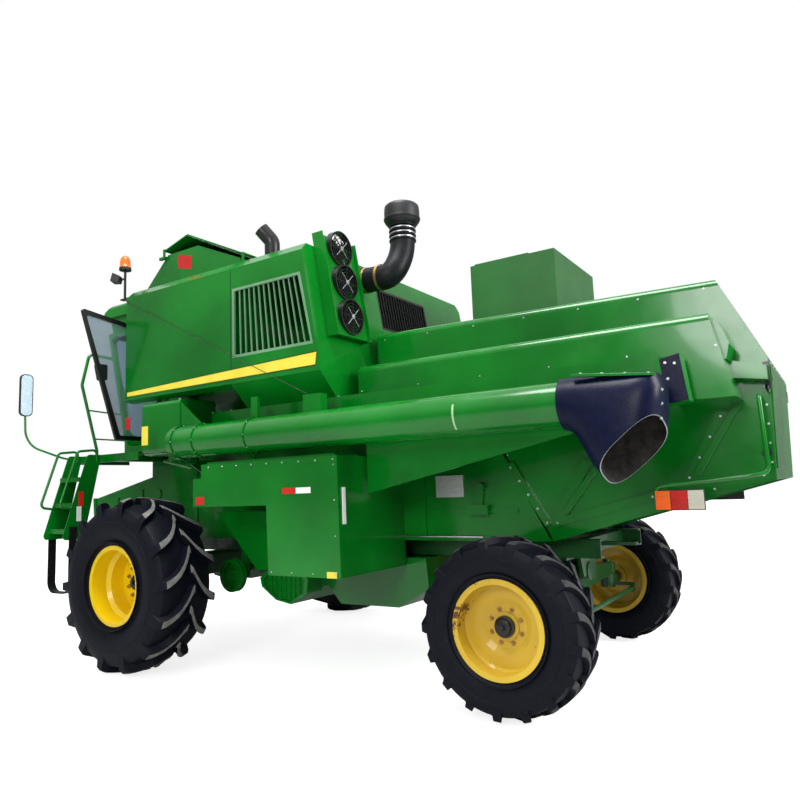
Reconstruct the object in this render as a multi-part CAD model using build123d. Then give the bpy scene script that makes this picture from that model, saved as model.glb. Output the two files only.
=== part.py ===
"""Self-propelled combine harvester without its header, in millimetres.

+X points forward, +Y to the machine's left and +Z up. The origin lies on the ground
below the middle of the machine. Every length along the machine is given ahead of the
drive axle, and save() moves the finished pieces to the origin.
"""
from build123d import *
from math import asin, atan2, cos, degrees, hypot, pi, radians, sin, sqrt
import os

# Drive axle ahead of the origin, and the steered axle behind the drive axle.
FRONT_AXLE_X = 1550.0
WHEELBASE = 3600.0
REAR_X = -WHEELBASE

# Wheels: 23.1-26 drive tyres and steered tyres on 24 inch rims.
FRONT_TYRE_R = 785.0
FRONT_TYRE_W = 590.0
FRONT_WHEEL_Y = 1635.0
FRONT_RIM_R = 330.0
REAR_TYRE_R = 605.0
REAR_TYRE_W = 410.0
REAR_WHEEL_Y = 1335.0
REAR_RIM_R = 305.0
RIM_FLANGE = 28.0
RIM_LIP = 16.0
RIM_WALL = 10.0

# Sheet metal and running clearances.
PANEL = 12.0
RIB = 14.0
SEAT_GAP = 0.3
RUN_GAP = 8.0
RUN_FIT = 0.05

# Threshing body between its side walls, and the deck height of the cab platform.
BODY_HALF = 800.0
BODY_FRONT = 500.0
BODY_TOP = 2130.0
DECK_Z = 2030.0
DECK_PLATE = 30.0
BEARER = 28.0

# Main frame.
RAIL_Y = 560.0
RAIL_HALF = 40.0
RAIL_Z0 = 985.0
RAIL_Z1 = 1125.0
RAIL_REAR = -4050.0
RAIL_WEB = 14.0

# Grain tank and engine housing above the body.
TANK_LEFT = 1550.0
TANK_RIGHT = 1250.0
TANK_FRONT = 330.0
TANK_BOTTOM = 2530.0
TANK_TOP = 3655.0
TANK_SHOULDER = 75.0
TANK_SEAM = -1165.0
HOUSING_REAR_TOP = -1995.0
HOUSING_REAR_BOTTOM = -2180.0
LEDGE_TOP = 2330.0
LEDGE_LOW = 2215.0
LEDGE_Y = 1350.0
LEDGE_FRONT = -700.0
LEDGE_REAR = -4733.0
LIP_OUT = 6.0
LIP_HIGH = 22.0

# Straw hood.
HOOD_HALF = 780.0
HOOD_FRONT = -2190.0
HOOD_TOP = 2950.0
HOOD_FALL = 45.0
HOOD_REAR_TOP = -5020.0
HOOD_REAR = -5292.0
HOOD_FOOT_Z = 2320.0
HOOD_MOUTH_Z = 1530.0
HOOD_ROUND = 55.0

# Unloading auger, folded back along the left side.
AUGER_Y = 1600.0
AUGER_Z = 2050.0
AUGER_R = 145.0
AUGER_PIVOT_X = -290.0
AUGER_PIVOT_Y = 1340.0
AUGER_END = -4200.0
SPIGOT_R = 60.0
ELBOW_TOP = 2460.0
ELBOW_LOW = 1960.0

# Feeder house, hung on two pins at the front of the threshing body.
FEEDER_PIVOT_X = 780.0
FEEDER_PIVOT_Z = 1600.0
FEEDER_TURN_R = 250.0
FEEDER_PIN_R = 30.0
FEEDER_HALF = 640.0
FEEDER_MOUTH = 2200.0
MOUTH_TOP = 1576.0
MOUTH_LOW = 884.0
MOUTH_RAKE = 60.0
MOUTH_LIP = 16.0
LOCK_X = 2090.0
LOCK_Z = 980.0
LOCK_R = 16.0
LOCK_BOSS = 40.0
SLATS = 6

# Lift cylinders below the feeder house.
LIFT_Y = 420.0
LIFT_BASE = (190.0, 730.0)
LIFT_EYE = (1500.0, 1030.0)
LIFT_PIN = 20.0
EYE_PIN = 15.0
EYE_BORE = 31.0
LUG = 15.0

# Cab.
CAB_HALF = 970.0
CAB_REAR = 365.0
CAB_WALL = 40.0
CAB_SILL = 2180.0
CAB_LOW_X = 1150.0
CAB_HEAD_X = 1480.0
CAB_HEAD_Z = 3480.0
CAB_ROOF_Z = 3815.0
DOOR_HINGE_X = 470.0
DOOR_HINGE_Y = 1010.0
DOOR_PIN = 6.0
DOOR_THICK = 30.0
DOOR_FRAME = 45.0

# Platform, rails and ladder.
DECK_Y = 1390.0
DECK_FRONT = 1460.0
RAIL_TUBE = 17.0

# Axle ends and steering.
FRONT_DRIVE_END = 1500.0
SPINDLE_END = 1300.0
STUB = 80.0
STUB_R = 45.0
HUB_R = 95.0
KINGPIN_Y = 1010.0
KINGPIN_R = 35.0
TIE_REACH = 230.0
STEER_REACH = 187.0


def placed(points, place):
    """Closed face through (u, v) points, with a third number where a corner is round."""
    corners = [place(point[0], point[1]) for point in points]
    radii = [point[2] if len(point) > 2 else 0.0 for point in points]
    if any(radii):
        return make_face(FilletPolyline(*corners, radius=radii, close=True))
    return make_face(Polyline(*corners, close=True))


def block(x0, x1, y0, y1, z0, z1):
    """Box between two corners."""
    return Pos((x0 + x1) / 2, (y0 + y1) / 2, (z0 + z1) / 2) * Box(abs(x1 - x0), abs(y1 - y0), abs(z1 - z0))


def side_prism(points, y0, y1):
    """Outline in X and Z, extruded across the machine from y0 to y1."""
    face = placed(points, lambda x, z: (x, 0, z))
    return Pos(0, min(y0, y1), 0) * extrude(face, amount=abs(y1 - y0), dir=(0, 1, 0))


def cross_prism(points, x0, x1):
    """Outline in Y and Z, extruded along the machine from x0 to x1."""
    face = placed(points, lambda y, z: (0, y, z))
    return Pos(min(x0, x1), 0, 0) * extrude(face, amount=abs(x1 - x0), dir=(1, 0, 0))


def plan_prism(points, z0, z1):
    """Outline in X and Y, extruded upwards from z0 to z1."""
    face = placed(points, lambda x, y: (x, y, 0))
    return Pos(0, 0, z0) * extrude(face, amount=z1 - z0, dir=(0, 0, 1))


def rod(start, end, radius, bore=0.0):
    """Round bar, or tube, between two points."""
    a, b = Vector(*start), Vector(*end)
    plane = Plane(origin=a, z_dir=b - a)
    bar = extrude(plane * Circle(radius), amount=(b - a).length)
    if bore:
        bar -= extrude(plane * Circle(bore), amount=(b - a).length)
    return bar


def cross_rod(x, z, y0, y1, radius, bore=0.0):
    """Round bar, or tube, that lies across the machine."""
    return rod((x, min(y0, y1), z), (x, max(y0, y1), z), radius, bore)


def bent_tube(points, radius, bend):
    """Round tube along straight runs joined by arcs of one bend radius."""
    path = FilletPolyline(*points, radius=bend)
    plane = Plane(origin=path @ 0, z_dir=path % 0)
    return sweep(plane * Circle(radius), path=path)


def strap(a, b, width):
    """Corners of a straight flat bar from a to b."""
    length = hypot(b[0] - a[0], b[1] - a[1])
    u, v = -(b[1] - a[1]) / length * width / 2, (b[0] - a[0]) / length * width / 2
    return [(a[0] + u, a[1] + v), (b[0] + u, b[1] + v), (b[0] - u, b[1] - v), (a[0] - u, a[1] - v)]


def ring(profile, x, y, z):
    """Profile of (radius, offset along Y) points turned about a cross axis."""
    face = placed(profile, lambda r, w: (r, 0, w))
    return Pos(x, y, z) * (Rot(-90, 0, 0) * revolve(face, Axis.Z))


def turned(profile, x, y):
    """Profile of (radius, height) points turned about an upright axis."""
    face = placed(profile, lambda r, z: (r, 0, z))
    return Pos(x, y, 0) * revolve(face, Axis.Z)


def mirrored(shape):
    """The same shape on the other side of the machine."""
    return mirror(shape, about=Plane.XZ)


def both(shape):
    """The shape and its mirror image, joined."""
    return shape + mirrored(shape)


def along(a, b, share):
    """Point on the line from a to b."""
    return (a[0] + (b[0] - a[0]) * share, a[1] + (b[1] - a[1]) * share)


def save(name, *shapes):
    """Write one node, which may hold several solids that don't touch."""
    solids = [Pos(FRONT_AXLE_X, 0, 0) * solid for shape in shapes for solid in shape.solids()]
    whole = solids[0] if len(solids) == 1 else Compound(children=solids)
    export_step(whole, os.path.join("parts", name + ".step"))


os.makedirs("parts", exist_ok=True)


# Tyres: a carcass of flat pitches with staggered tread bars
TREAD_EDGE = 0.42
BEAD_EDGE = 0.34
BAR_BURY = 40.0


def polygon_ring(sections, sides):
    """Faceted body of revolution through (offset along Y, radius) sections."""
    faces = []
    for offset, radius in sections:
        polygon = RegularPolygon(radius, sides)
        faces.append(Plane(origin=(0, offset, 0), x_dir=(1, 0, 0), z_dir=(0, 1, 0)) * polygon)
    return loft(faces, ruled=True)


def tread_bar(radius, width, depth, run, thick, lead):
    """One bar at the top of the wheel, from the crown line out over the left shoulder."""
    top = sqrt(radius ** 2 - (run / 2 + thick / 2) ** 2)
    half = width / 2
    inner, outer = lead * run / 2, -lead * run / 2
    plan = plan_prism([(inner - thick / 2, -12), (inner + thick / 2, -12), (outer + thick / 2, half - 1),
                       (outer - thick / 2, half - 1)], radius - 170, radius)
    profile = cross_prism([(-12, radius - depth - BAR_BURY), (-12, top), (0.80 * half, top),
                           (half - 1, top - 35), (half - 1, radius - 130)], -run, run)
    return plan & profile


def tyre(radius, width, bore, depth, bars, run, thick, lead):
    """Carcass and bars about the origin, turned until one bar's corner is the lowest point."""
    half = width / 2
    crown = radius - depth
    side = radius - 150
    seat = (bore + SEAT_GAP) / cos(pi / (2 * bars))
    outer = polygon_ring([(-half, side), (-TREAD_EDGE * width, crown), (TREAD_EDGE * width, crown), (half, side)],
                         2 * bars)
    inner = polygon_ring([(-half, side), (-BEAD_EDGE * width, seat), (BEAD_EDGE * width, seat), (half, side)],
                         2 * bars)
    bar = tread_bar(radius, width, depth, run, thick, lead)
    pitch = 360.0 / bars
    left = [Rot(0, pitch * k, 0) * bar for k in range(bars)]
    right = [Rot(0, pitch * (k + 0.5), 0) * mirrored(bar) for k in range(bars)]
    settle = -lead * degrees(asin((run + thick) / 2 / radius))
    return Rot(0, settle, 0) * (outer - inner).fuse(*left, *right)


# Rims: columns are well depth, well half-width, disc offset, dish depth and bolt circle radius
FRONT_RIM = {"well": 34.0, "well_half": 100.0, "disc": -64.0, "dish": 34.0, "bolt": 150.0}
REAR_RIM = {"well": 26.0, "well_half": 62.0, "disc": 40.0, "dish": -22.0, "bolt": 105.0}


def rim(bore, width, form, side, hub_start):
    """Drop-centre barrel, dished disc and hub about the origin, open side outwards."""
    edge = 0.40 * width
    lip = bore + RIM_FLANGE
    low, wall = bore - form["well"], RIM_WALL
    half = form["well_half"]
    barrel = [
        (lip, -edge - RIM_LIP), (lip, -edge - SEAT_GAP), (bore, -edge - SEAT_GAP), (bore, -half),
        (low, 30 - half), (low, half - 30), (bore, half), (bore, edge + SEAT_GAP), (lip, edge + SEAT_GAP),
        (lip, edge + RIM_LIP),
        (bore - wall, edge + RIM_LIP), (bore - wall, half + 4), (low - wall, half - 26), (low - wall, 26 - half),
        (bore - wall, -half - 4), (bore - wall, -edge - RIM_LIP),
    ]
    disc, dish = side * form["disc"], side * form["dish"]
    bolt = form["bolt"] + 45
    plate = [
        (low - 2, disc - 6), (low - 2, disc + 6), (bolt + 45, disc + 6), (bolt, disc + dish + 6),
        (HUB_R - 5, disc + dish + 6), (HUB_R - 5, disc + dish - 6), (bolt, disc + dish - 6), (bolt + 45, disc - 6),
    ]
    hub = cross_rod(0, 0, side * hub_start, disc + dish + side * 20, HUB_R)
    hub -= cross_rod(0, 0, side * (hub_start - 5), side * (hub_start + STUB + 5 - RUN_GAP), STUB_R + RUN_FIT)
    return ring(barrel, 0, 0, 0) + ring(plate, 0, 0, 0) + hub


# Tyre columns: tread depth, bars a side, run of a bar along the tread, bar thickness, lead of the crown end
FRONT_TREAD = (38.0, 16, 170.0, 60.0, 1)
REAR_TREAD = (32.0, 16, 130.0, 46.0, -1)
front_tyre = tyre(FRONT_TYRE_R, FRONT_TYRE_W, FRONT_RIM_R, *FRONT_TREAD)
rear_tyre = tyre(REAR_TYRE_R, REAR_TYRE_W, REAR_RIM_R, *REAR_TREAD)
for side, tag in ((1, "left"), (-1, "right")):
    front = Pos(0, side * FRONT_WHEEL_Y, FRONT_TYRE_R)
    rear = Pos(REAR_X, side * REAR_WHEEL_Y, REAR_TYRE_R)
    front_hub = FRONT_DRIVE_END + RUN_GAP - FRONT_WHEEL_Y
    rear_hub = SPINDLE_END + RUN_GAP - REAR_WHEEL_Y
    save(f"front_tyre_{tag}", front * (front_tyre if side > 0 else mirrored(front_tyre)))
    save(f"rear_tyre_{tag}", rear * (rear_tyre if side > 0 else mirrored(rear_tyre)))
    save(f"front_rim_{tag}", front * rim(FRONT_RIM_R, FRONT_TYRE_W, FRONT_RIM, side, front_hub))
    save(f"rear_rim_{tag}", rear * rim(REAR_RIM_R, REAR_TYRE_W, REAR_RIM, side, rear_hub))


# Drive axle and frame
HITCH_X = -4120.0
HITCH_Z = 1060.0
HITCH_R = 16.0
CROSS_MEMBERS = (-3900, -2860, -600, 380)
CROSS_WIDTH = 100.0


def drive_axle():
    """Beam, gearbox with its round brakes, stepped final drives and wheel stubs."""
    z = FRONT_TYRE_R
    axle = side_prism([(-105, z - 20, 25), (105, z - 20, 25), (105, z + 200, 25), (-105, z + 200, 25)], -1180, 1180)
    axle += side_prism([(-210, z - 60, 60), (-80, z - 140, 60), (150, z - 140, 60), (210, z, 60),
                        (150, z + 245, 60), (-150, z + 245, 60)], -230, 230)
    for side in (1, -1):
        axle += cross_rod(0, z + 90, side * 225, side * 330, 150)
        axle += ring([(0, side * 1150), (225, side * 1150), (225, side * 1235), (190, side * 1290),
                      (0, side * 1290)], 0, 0, z)
        axle += ring([(0, side * 1285), (135, side * 1285), (135, side * 1330), (110, side * 1350),
                      (110, side * FRONT_DRIVE_END), (0, side * FRONT_DRIVE_END)], 0, 0, z)
        axle += cross_rod(0, z, side * (FRONT_DRIVE_END - 5), side * (FRONT_DRIVE_END + STUB), STUB_R)
        axle += block(-95, 95, side * (RAIL_Y - 60), side * (RAIL_Y + 60), z + 190, RAIL_Z0)
        for y in (LIFT_Y - 50.5 - LUG, LIFT_Y + 50.5):
            axle += side_prism([(95, 775), (95, 930), (235, 770), (235, 700), (150, 690)], side * y,
                               side * (y + LUG))
        axle += cross_rod(*LIFT_BASE, side * (LIFT_Y - 65), side * (LIFT_Y + 65), LIFT_PIN)
    return axle


def channel_rail(x0, x1, y, open_side):
    """Rolled channel along the machine, open towards open_side."""
    web = RAIL_HALF - RAIL_WEB
    section = block(x0, x1, y - RAIL_HALF, y + RAIL_HALF, RAIL_Z0, RAIL_Z1)
    hollow_y0, hollow_y1 = (y - web, y + RAIL_HALF + 1) if open_side > 0 else (y - RAIL_HALF - 1, y + web)
    return section - block(x0 - 1, x1 + 1, hollow_y0, hollow_y1, RAIL_Z0 + RAIL_WEB, RAIL_Z1 - RAIL_WEB)


def main_frame():
    """Two channel rails and their cross members, with the rear hitch tongue."""
    frame = both(channel_rail(RAIL_REAR, BODY_FRONT, RAIL_Y, -1))
    for x in CROSS_MEMBERS:
        frame += block(x, x + CROSS_WIDTH, -RAIL_Y - 20, RAIL_Y + 20, RAIL_Z0 + 10, RAIL_Z1 - 10)
    tongue = plan_prism([(RAIL_REAR - 120, -35, 20), (-3850, -90), (-3850, 90), (RAIL_REAR - 120, 35, 20)],
                        HITCH_Z - 25, HITCH_Z)
    return frame + tongue - rod((HITCH_X, 0, HITCH_Z - 60), (HITCH_X, 0, HITCH_Z + 60), HITCH_R)


save("drive_axle", drive_axle())
save("main_frame", main_frame())


# Threshing body: its wall stops along a slanted joint with the hood
JOINT_TOP = (-3220.0, BODY_TOP)
JOINT_KNEE = (-3409.0, 1767.0)
JOINT_FOOT = (-3745.0, RAIL_Z1)
DECK_LOW = DECK_Z - DECK_PLATE - BEARER
# Upright ribs: distance ahead, lower end, upper end, width
UPRIGHTS = [(-2650, 1150, 1880, 44), (-700, 1440, 2110, 44), (150, 1150, 1900, 44)]
# Level ribs: rear end, front end, height, width
LEVELS = [(-3500, -2700, 1360, 36), (-3600, -2700, 1150, 24), (-300, 400, 1150, 24)]


def body_wall():
    """Left side wall with its pressed ribs."""
    wall = side_prism([(BODY_FRONT, RAIL_Z1), (FEEDER_PIVOT_X + 100, 1500, 60), (FEEDER_PIVOT_X + 100, DECK_LOW),
                       (TANK_FRONT, DECK_LOW), (TANK_FRONT, BODY_TOP), JOINT_TOP, JOINT_KNEE, JOINT_FOOT],
                      BODY_HALF - PANEL, BODY_HALF)
    for x, z0, z1, width in UPRIGHTS:
        wall += block(x - width / 2, x + width / 2, BODY_HALF - 1, BODY_HALF + RIB, z0, z1)
    for x0, x1, z, width in LEVELS:
        wall += block(x0, x1, BODY_HALF - 1, BODY_HALF + RIB, z - width / 2, z + width / 2)
    return wall


def body_fittings():
    """Concave lever with its block on the left wall."""
    lever = side_prism(strap((-3185, 1540), (-3170, 1370), 58), BODY_HALF - 1, BODY_HALF + 22)
    lever += cross_rod(-3188, 1545, BODY_HALF - 1, BODY_HALF + 45, 38)
    lever += block(-3262, -3085, BODY_HALF - 1, BODY_HALF + 60, 1332, 1408)
    return lever


def threshing_body():
    """Side walls, top, floor and front deck, with the two pins that carry the feeder house."""
    shell = both(body_wall())
    shell += block(JOINT_TOP[0], TANK_FRONT, -BODY_HALF + 1, BODY_HALF - 1, BODY_TOP - PANEL, BODY_TOP)
    shell += block(TANK_FRONT - 1, FEEDER_PIVOT_X + 100, -BODY_HALF + 1, BODY_HALF - 1, DECK_LOW - PANEL,
                   DECK_LOW)
    shell += block(JOINT_FOOT[0] + 10, BODY_FRONT, -BODY_HALF + 1, BODY_HALF - 1, RAIL_Z1, RAIL_Z1 + PANEL)
    for side in (1, -1):
        shell += cross_rod(FEEDER_PIVOT_X, FEEDER_PIVOT_Z, side * (BODY_HALF - 5), side * (BODY_HALF + 12), 60)
        shell += cross_rod(FEEDER_PIVOT_X, FEEDER_PIVOT_Z, side * (FEEDER_HALF - 40), side * BODY_HALF,
                           FEEDER_PIN_R)
    return shell + body_fittings()


def hood_top(x):
    """Height of the hood's roof, which falls towards the rear."""
    return HOOD_TOP - HOOD_FALL * (HOOD_FRONT - x) / (HOOD_FRONT - HOOD_REAR_TOP)


# Flat braces on the hood's side: lower end, upper end, width
BRACES = [((-3775, 1240), (-4060, 1715), 74), ((-4735, 1520), (-5000, 1995), 74),
          ((-3780, 1262), (-4620, 1470), 60)]


def straw_hood():
    """Hood over the straw walkers: rounded roof edges, sloped rear, upright rear panel, open below."""
    foot = JOINT_FOOT[0] - 15
    points = [
        (HOOD_FRONT, BODY_TOP + SEAT_GAP), (HOOD_FRONT, HOOD_TOP), (HOOD_REAR_TOP, HOOD_TOP - HOOD_FALL),
        (HOOD_REAR, HOOD_FOOT_Z), (HOOD_REAR + 20, HOOD_MOUTH_Z), (foot, RAIL_Z1),
        (JOINT_KNEE[0] - 15, JOINT_KNEE[1]), (JOINT_TOP[0] - 15, BODY_TOP + SEAT_GAP),
    ]
    outer = side_prism(points, -HOOD_HALF, HOOD_HALF)
    corners = outer.edges().filter_by(lambda e: abs(e.center().Y) > 700)
    long_edges = corners.filter_by(lambda e: e.center().Z > HOOD_TOP - HOOD_FALL)
    front_edges = corners.filter_by(lambda e: abs(e.center().X - HOOD_FRONT) < 1)
    outer = fillet(long_edges + front_edges, HOOD_ROUND)
    inner = [
        (HOOD_FRONT - PANEL, BODY_TOP - 50), (HOOD_FRONT - PANEL, HOOD_TOP - PANEL),
        (HOOD_REAR_TOP + PANEL, HOOD_TOP - HOOD_FALL - PANEL), (HOOD_REAR + PANEL + 6, HOOD_FOOT_Z),
        (HOOD_REAR + 20 + PANEL, HOOD_MOUTH_Z - 300), (foot, 700), (-3000, 1400),
    ]
    hood = outer - side_prism(inner, HOOD_ROUND - HOOD_HALF, HOOD_HALF - HOOD_ROUND)
    for y0, y1 in ((PANEL - HOOD_HALF, HOOD_ROUND + 1 - HOOD_HALF),
                   (HOOD_HALF - HOOD_ROUND - 1, HOOD_HALF - PANEL)):
        low = [(x, min(z, HOOD_TOP - HOOD_FALL - HOOD_ROUND)) for x, z in inner]
        low[1] = (HOOD_FRONT - HOOD_ROUND, low[1][1])
        low[0] = (HOOD_FRONT - HOOD_ROUND, low[0][1])
        low[2] = (HOOD_REAR_TOP, low[2][1])
        hood -= side_prism(low, y0, y1)
    for low_end, high_end, width in BRACES:
        bar = side_prism(strap(low_end, high_end, width), HOOD_HALF - 1, HOOD_HALF + RIB)
        hood += bar + mirrored(bar)
    panel = block(HOOD_REAR - 8, HOOD_REAR + 24, -690, 690, 1600, 2290)
    return hood + (panel & side_prism([(HOOD_REAR - 8, 2290), (HOOD_REAR + 12, 1600), (HOOD_REAR + 40, 1600),
                                       (HOOD_REAR + 20, 2290)], -700, 700))


save("threshing_body", threshing_body())
save("straw_hood", straw_hood())


# Belt covers beside the hood
COVER_Y = 1150.0
COVER_TOP = 2600.0
COVER_REAR = ((-5005.0, 2600.0), (-5130.0, 2050.0))


def side_cover(ledge_front):
    """Upper box with a rounded crown, ledge below it and tapering skirt."""
    y0 = HOOD_HALF + SEAT_GAP
    low = COVER_REAR[1][1]
    box = cross_prism([(y0, low), (COVER_Y, low), (COVER_Y, COVER_TOP, 60), (y0, COVER_TOP)],
                      COVER_REAR[1][0], -2265)
    box &= side_prism([(-2265, LEDGE_TOP - 5), (-2265, COVER_TOP), COVER_REAR[0], COVER_REAR[1],
                       (LEDGE_REAR, low), (LEDGE_REAR, LEDGE_TOP - 5)], y0, COVER_Y + 1)
    cap = side_prism([(-4990, 2560), (-5050, 2560, 15), (-5105, 2400, 15), (-5082, 2300), (-5040, 2300)],
                     y0, 1060)
    arm = side_prism([(-5050, 2316), (-5290, 2250), (-5290, 2160), (-5080, 2193)], y0, 930)
    ledge = block(LEDGE_REAR, HOOD_FRONT, y0, LEDGE_Y, LEDGE_LOW, LEDGE_TOP)
    ledge += block(HOOD_FRONT, ledge_front, BODY_HALF + SEAT_GAP, LEDGE_Y, LEDGE_LOW, LEDGE_TOP)
    skirt = side_prism([(-2470, 1530), (-2470, LEDGE_LOW + 1), (-4150, LEDGE_LOW + 1), (-4154, 1883)],
                       LEDGE_Y - PANEL, LEDGE_Y)
    return box + cap + arm + ledge + skirt


def cable_plate():
    """Bolted plate at the rear end of the left ledge."""
    x = LEDGE_REAR + 5
    return side_prism([(x, 2300), (x - 130, 2322), (x - 165, 2027), (x - 35, 2010), (x, LEDGE_LOW)], LEDGE_Y - 130,
                      LEDGE_Y + 25)


save("side_covers", side_cover(LEDGE_FRONT) + cable_plate(), mirrored(side_cover(HOOD_FRONT - 1)))


# Grain tank
def upper_section(inset, left_foot):
    """Cross section above the body: foot, undersides, upright walls and chamfered shoulders."""
    low = BODY_TOP + SEAT_GAP + inset
    return [
        (inset - BODY_HALF, low), (BODY_HALF - inset, low), *left_foot,
        (TANK_LEFT - inset, TANK_BOTTOM + inset), (TANK_LEFT - inset, TANK_TOP - TANK_SHOULDER),
        (TANK_LEFT - TANK_SHOULDER, TANK_TOP - inset), (TANK_SHOULDER - TANK_RIGHT, TANK_TOP - inset),
        (inset - TANK_RIGHT, TANK_TOP - TANK_SHOULDER), (inset - TANK_RIGHT, TANK_BOTTOM + inset),
        (inset - BODY_HALF, LEDGE_TOP + inset),
    ]


def tank_section(inset):
    """Tank section, flat under the side that overhangs the auger elbow."""
    return upper_section(inset, [(BODY_HALF - inset, LEDGE_TOP + inset), (BODY_HALF + 30, 2495 + inset),
                                 (1480, 2500 + inset)])


def housing_section(inset):
    """Engine housing section, which tapers in to the ledge."""
    low = LEDGE_TOP + SEAT_GAP + inset
    return upper_section(inset, [(BODY_HALF - inset, low), (LEDGE_Y - inset, low)])


EXT_HALF = 1130.0
EXT_LEFT = 1420.0
EXT_FRONT = 200.0
EXT_REAR = -1160.0
EXT_TOP = 3970.0
EXT_SHEET = 10.0
LID_HINGES = ((-120.0, 4016.0), (-1220.0, 3746.0))
LID_PIN = 6.0
LID_SIDE = 20.0


def grain_tank():
    """Open-topped hopper in sheet metal, with the collar over the auger elbow."""
    outer = cross_prism(tank_section(0), TANK_SEAM, TANK_FRONT)
    inner = cross_prism(tank_section(PANEL), TANK_SEAM + PANEL, TANK_FRONT - PANEL)
    mouth = block(EXT_REAR + 30, EXT_FRONT - 30, -EXT_HALF + 30, EXT_LEFT - 40, 3400, TANK_TOP + 1)
    collar = rod((AUGER_PIVOT_X, AUGER_PIVOT_Y, ELBOW_TOP + 6), (AUGER_PIVOT_X, AUGER_PIVOT_Y, 2505), 140)
    collar += rod((AUGER_PIVOT_X, AUGER_PIVOT_Y, ELBOW_TOP - 30), (AUGER_PIVOT_X, AUGER_PIVOT_Y, ELBOW_TOP + 10),
                  SPIGOT_R)
    lip = block(TANK_SEAM, TANK_FRONT, TANK_LEFT - 1, TANK_LEFT + LIP_OUT, TANK_BOTTOM, TANK_BOTTOM + LIP_HIGH)
    return outer - inner - mouth + collar + lip


def tank_extension():
    """Gable plates, sloped front and rear plate of the raised cover, with the lids' hinge ears."""
    gable = [(EXT_FRONT, TANK_TOP), (-150, EXT_TOP), (-590, EXT_TOP), (EXT_REAR, 3722), (EXT_REAR, TANK_TOP)]
    cover = side_prism(gable, EXT_LEFT - EXT_SHEET, EXT_LEFT)
    cover += side_prism(gable, -EXT_HALF, EXT_SHEET - EXT_HALF)
    cover += side_prism([(EXT_FRONT, TANK_TOP), (-150, EXT_TOP), (-162, EXT_TOP), (EXT_FRONT - 14, TANK_TOP)],
                        -EXT_HALF, EXT_LEFT)
    cover += block(EXT_REAR, EXT_REAR + EXT_SHEET, -EXT_HALF, EXT_LEFT, TANK_TOP, 3722)
    for x, z in LID_HINGES:
        for edge, out in ((EXT_LEFT, 1), (-EXT_HALF, -1)):
            far = edge + out * (LID_SIDE + 9)
            cover += block(x - 15, x + 75, edge, far, z - 88, z - 62)
            cover += side_prism([(x - 15, z - 88), (x + 15, z - 88), (x + 15, z + 12, 8), (x - 15, z + 12, 8)],
                                far, far - out * 8)
            cover += cross_rod(x, z, far - out, far - out * 40, LID_PIN)
    return cover


def tank_lid(points, hinge):
    """Folded lid plate that spans the gable plates, with its hinge tube and down-turned edge."""
    y0, y1 = -EXT_HALF - LID_SIDE, EXT_LEFT + LID_SIDE
    lid = side_prism(points, y0, y1)
    lid += cross_rod(*hinge, y0, y1, 12)
    return lid - cross_rod(*hinge, y0 - 10, y1 + 10, LID_PIN + RUN_FIT)


save("grain_tank", grain_tank())
save("tank_extension", tank_extension())
save("tank_lid_front", tank_lid([(-120, 4010), (-440, 4096), (-440, 4108), (-120, 4022)], LID_HINGES[0]))
save("tank_lid_rear", tank_lid([(-1220, 3740), (-1220, 3752), (-450, 4116), (-450, 4104)], LID_HINGES[1]))


# Engine housing and what sits in and on it
SCREEN_Y = (-400.0, 500.0)
SCREEN_Z = (3060.0, 3480.0)
INTAKE_START = (-1850.0, 780.0, 3480.0)
INTAKE_TURN = (-2400.0, 780.0, 3450.0)
INTAKE_TOP = (-2450.0, 650.0)
INTAKE_R = 115.0
COOLER_Y = (905.0, 1365.0)
COOLER_Z = (2860.0, 3760.0)
COOLER_DEPTH = 80.0
FAN_R = 138.0
FAN_Z = (3040.0, 3355.0, 3670.0)
FAN_Y = 1135.0
FAN_SHAFT_R = 8.0


def rear_wall(z):
    """Distance ahead of the axle of the leaning rear wall's outer face at height z."""
    lean = (HOUSING_REAR_BOTTOM - HOUSING_REAR_TOP) / (TANK_TOP - TANK_BOTTOM)
    return HOUSING_REAR_TOP + lean * (TANK_TOP - z)


def housing_points(inset):
    """Side outline of the engine housing, with a leaning rear wall."""
    front = TANK_SEAM - SEAT_GAP - inset
    low = BODY_TOP + SEAT_GAP + inset
    return [(front, low), (front, TANK_TOP - inset), (HOUSING_REAR_TOP + inset, TANK_TOP - inset),
            (HOUSING_REAR_BOTTOM + inset, TANK_BOTTOM), (HOUSING_REAR_BOTTOM + inset, low)]


# Corners of the side grille's opening
GRILLE = [(-1185.0, 2760.0), (-1185.0, 3390.0), (-1985.0, 3390.0), (-2110.0, 2760.0)]
GRILLE_BARS = 13
GRILLE_FRAME = 24.0


def shrunk(corners, inset):
    """The four corners of an opening moved inwards by inset."""
    (x0, z0), (x1, z1), (x2, z2), (x3, z3) = corners
    return [(x0 - inset, z0 + inset), (x1 - inset, z1 - inset), (x2 + inset, z2 - inset),
            (x3 + 1.1 * inset, z3 + inset)]


def engine_housing():
    """Hollow housing with its side, screen, cooler and hose openings."""
    outline = cross_prism(housing_section(0), -2300, -1100)
    inner_line = cross_prism(housing_section(PANEL), -2300, -1100)
    shell = side_prism(housing_points(0), -2000, 2000) & outline
    shell -= side_prism(housing_points(PANEL), -2000, 2000) & inner_line
    shell -= side_prism(GRILLE, TANK_LEFT - 40, TANK_LEFT + 10)
    shell -= block(-2250, -1960, *SCREEN_Y, *SCREEN_Z)
    shell -= block(-2250, -1960, COOLER_Y[0] + 45, COOLER_Y[1] - 45, COOLER_Z[0] + 60, 3590)
    shell -= rod(INTAKE_START, INTAKE_TURN, INTAKE_R + SEAT_GAP)
    lip = block(HOUSING_REAR_BOTTOM + 20, TANK_SEAM - SEAT_GAP, TANK_LEFT - 1, TANK_LEFT + LIP_OUT, TANK_BOTTOM,
                TANK_BOTTOM + LIP_HIGH)
    return shell + lip


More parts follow.
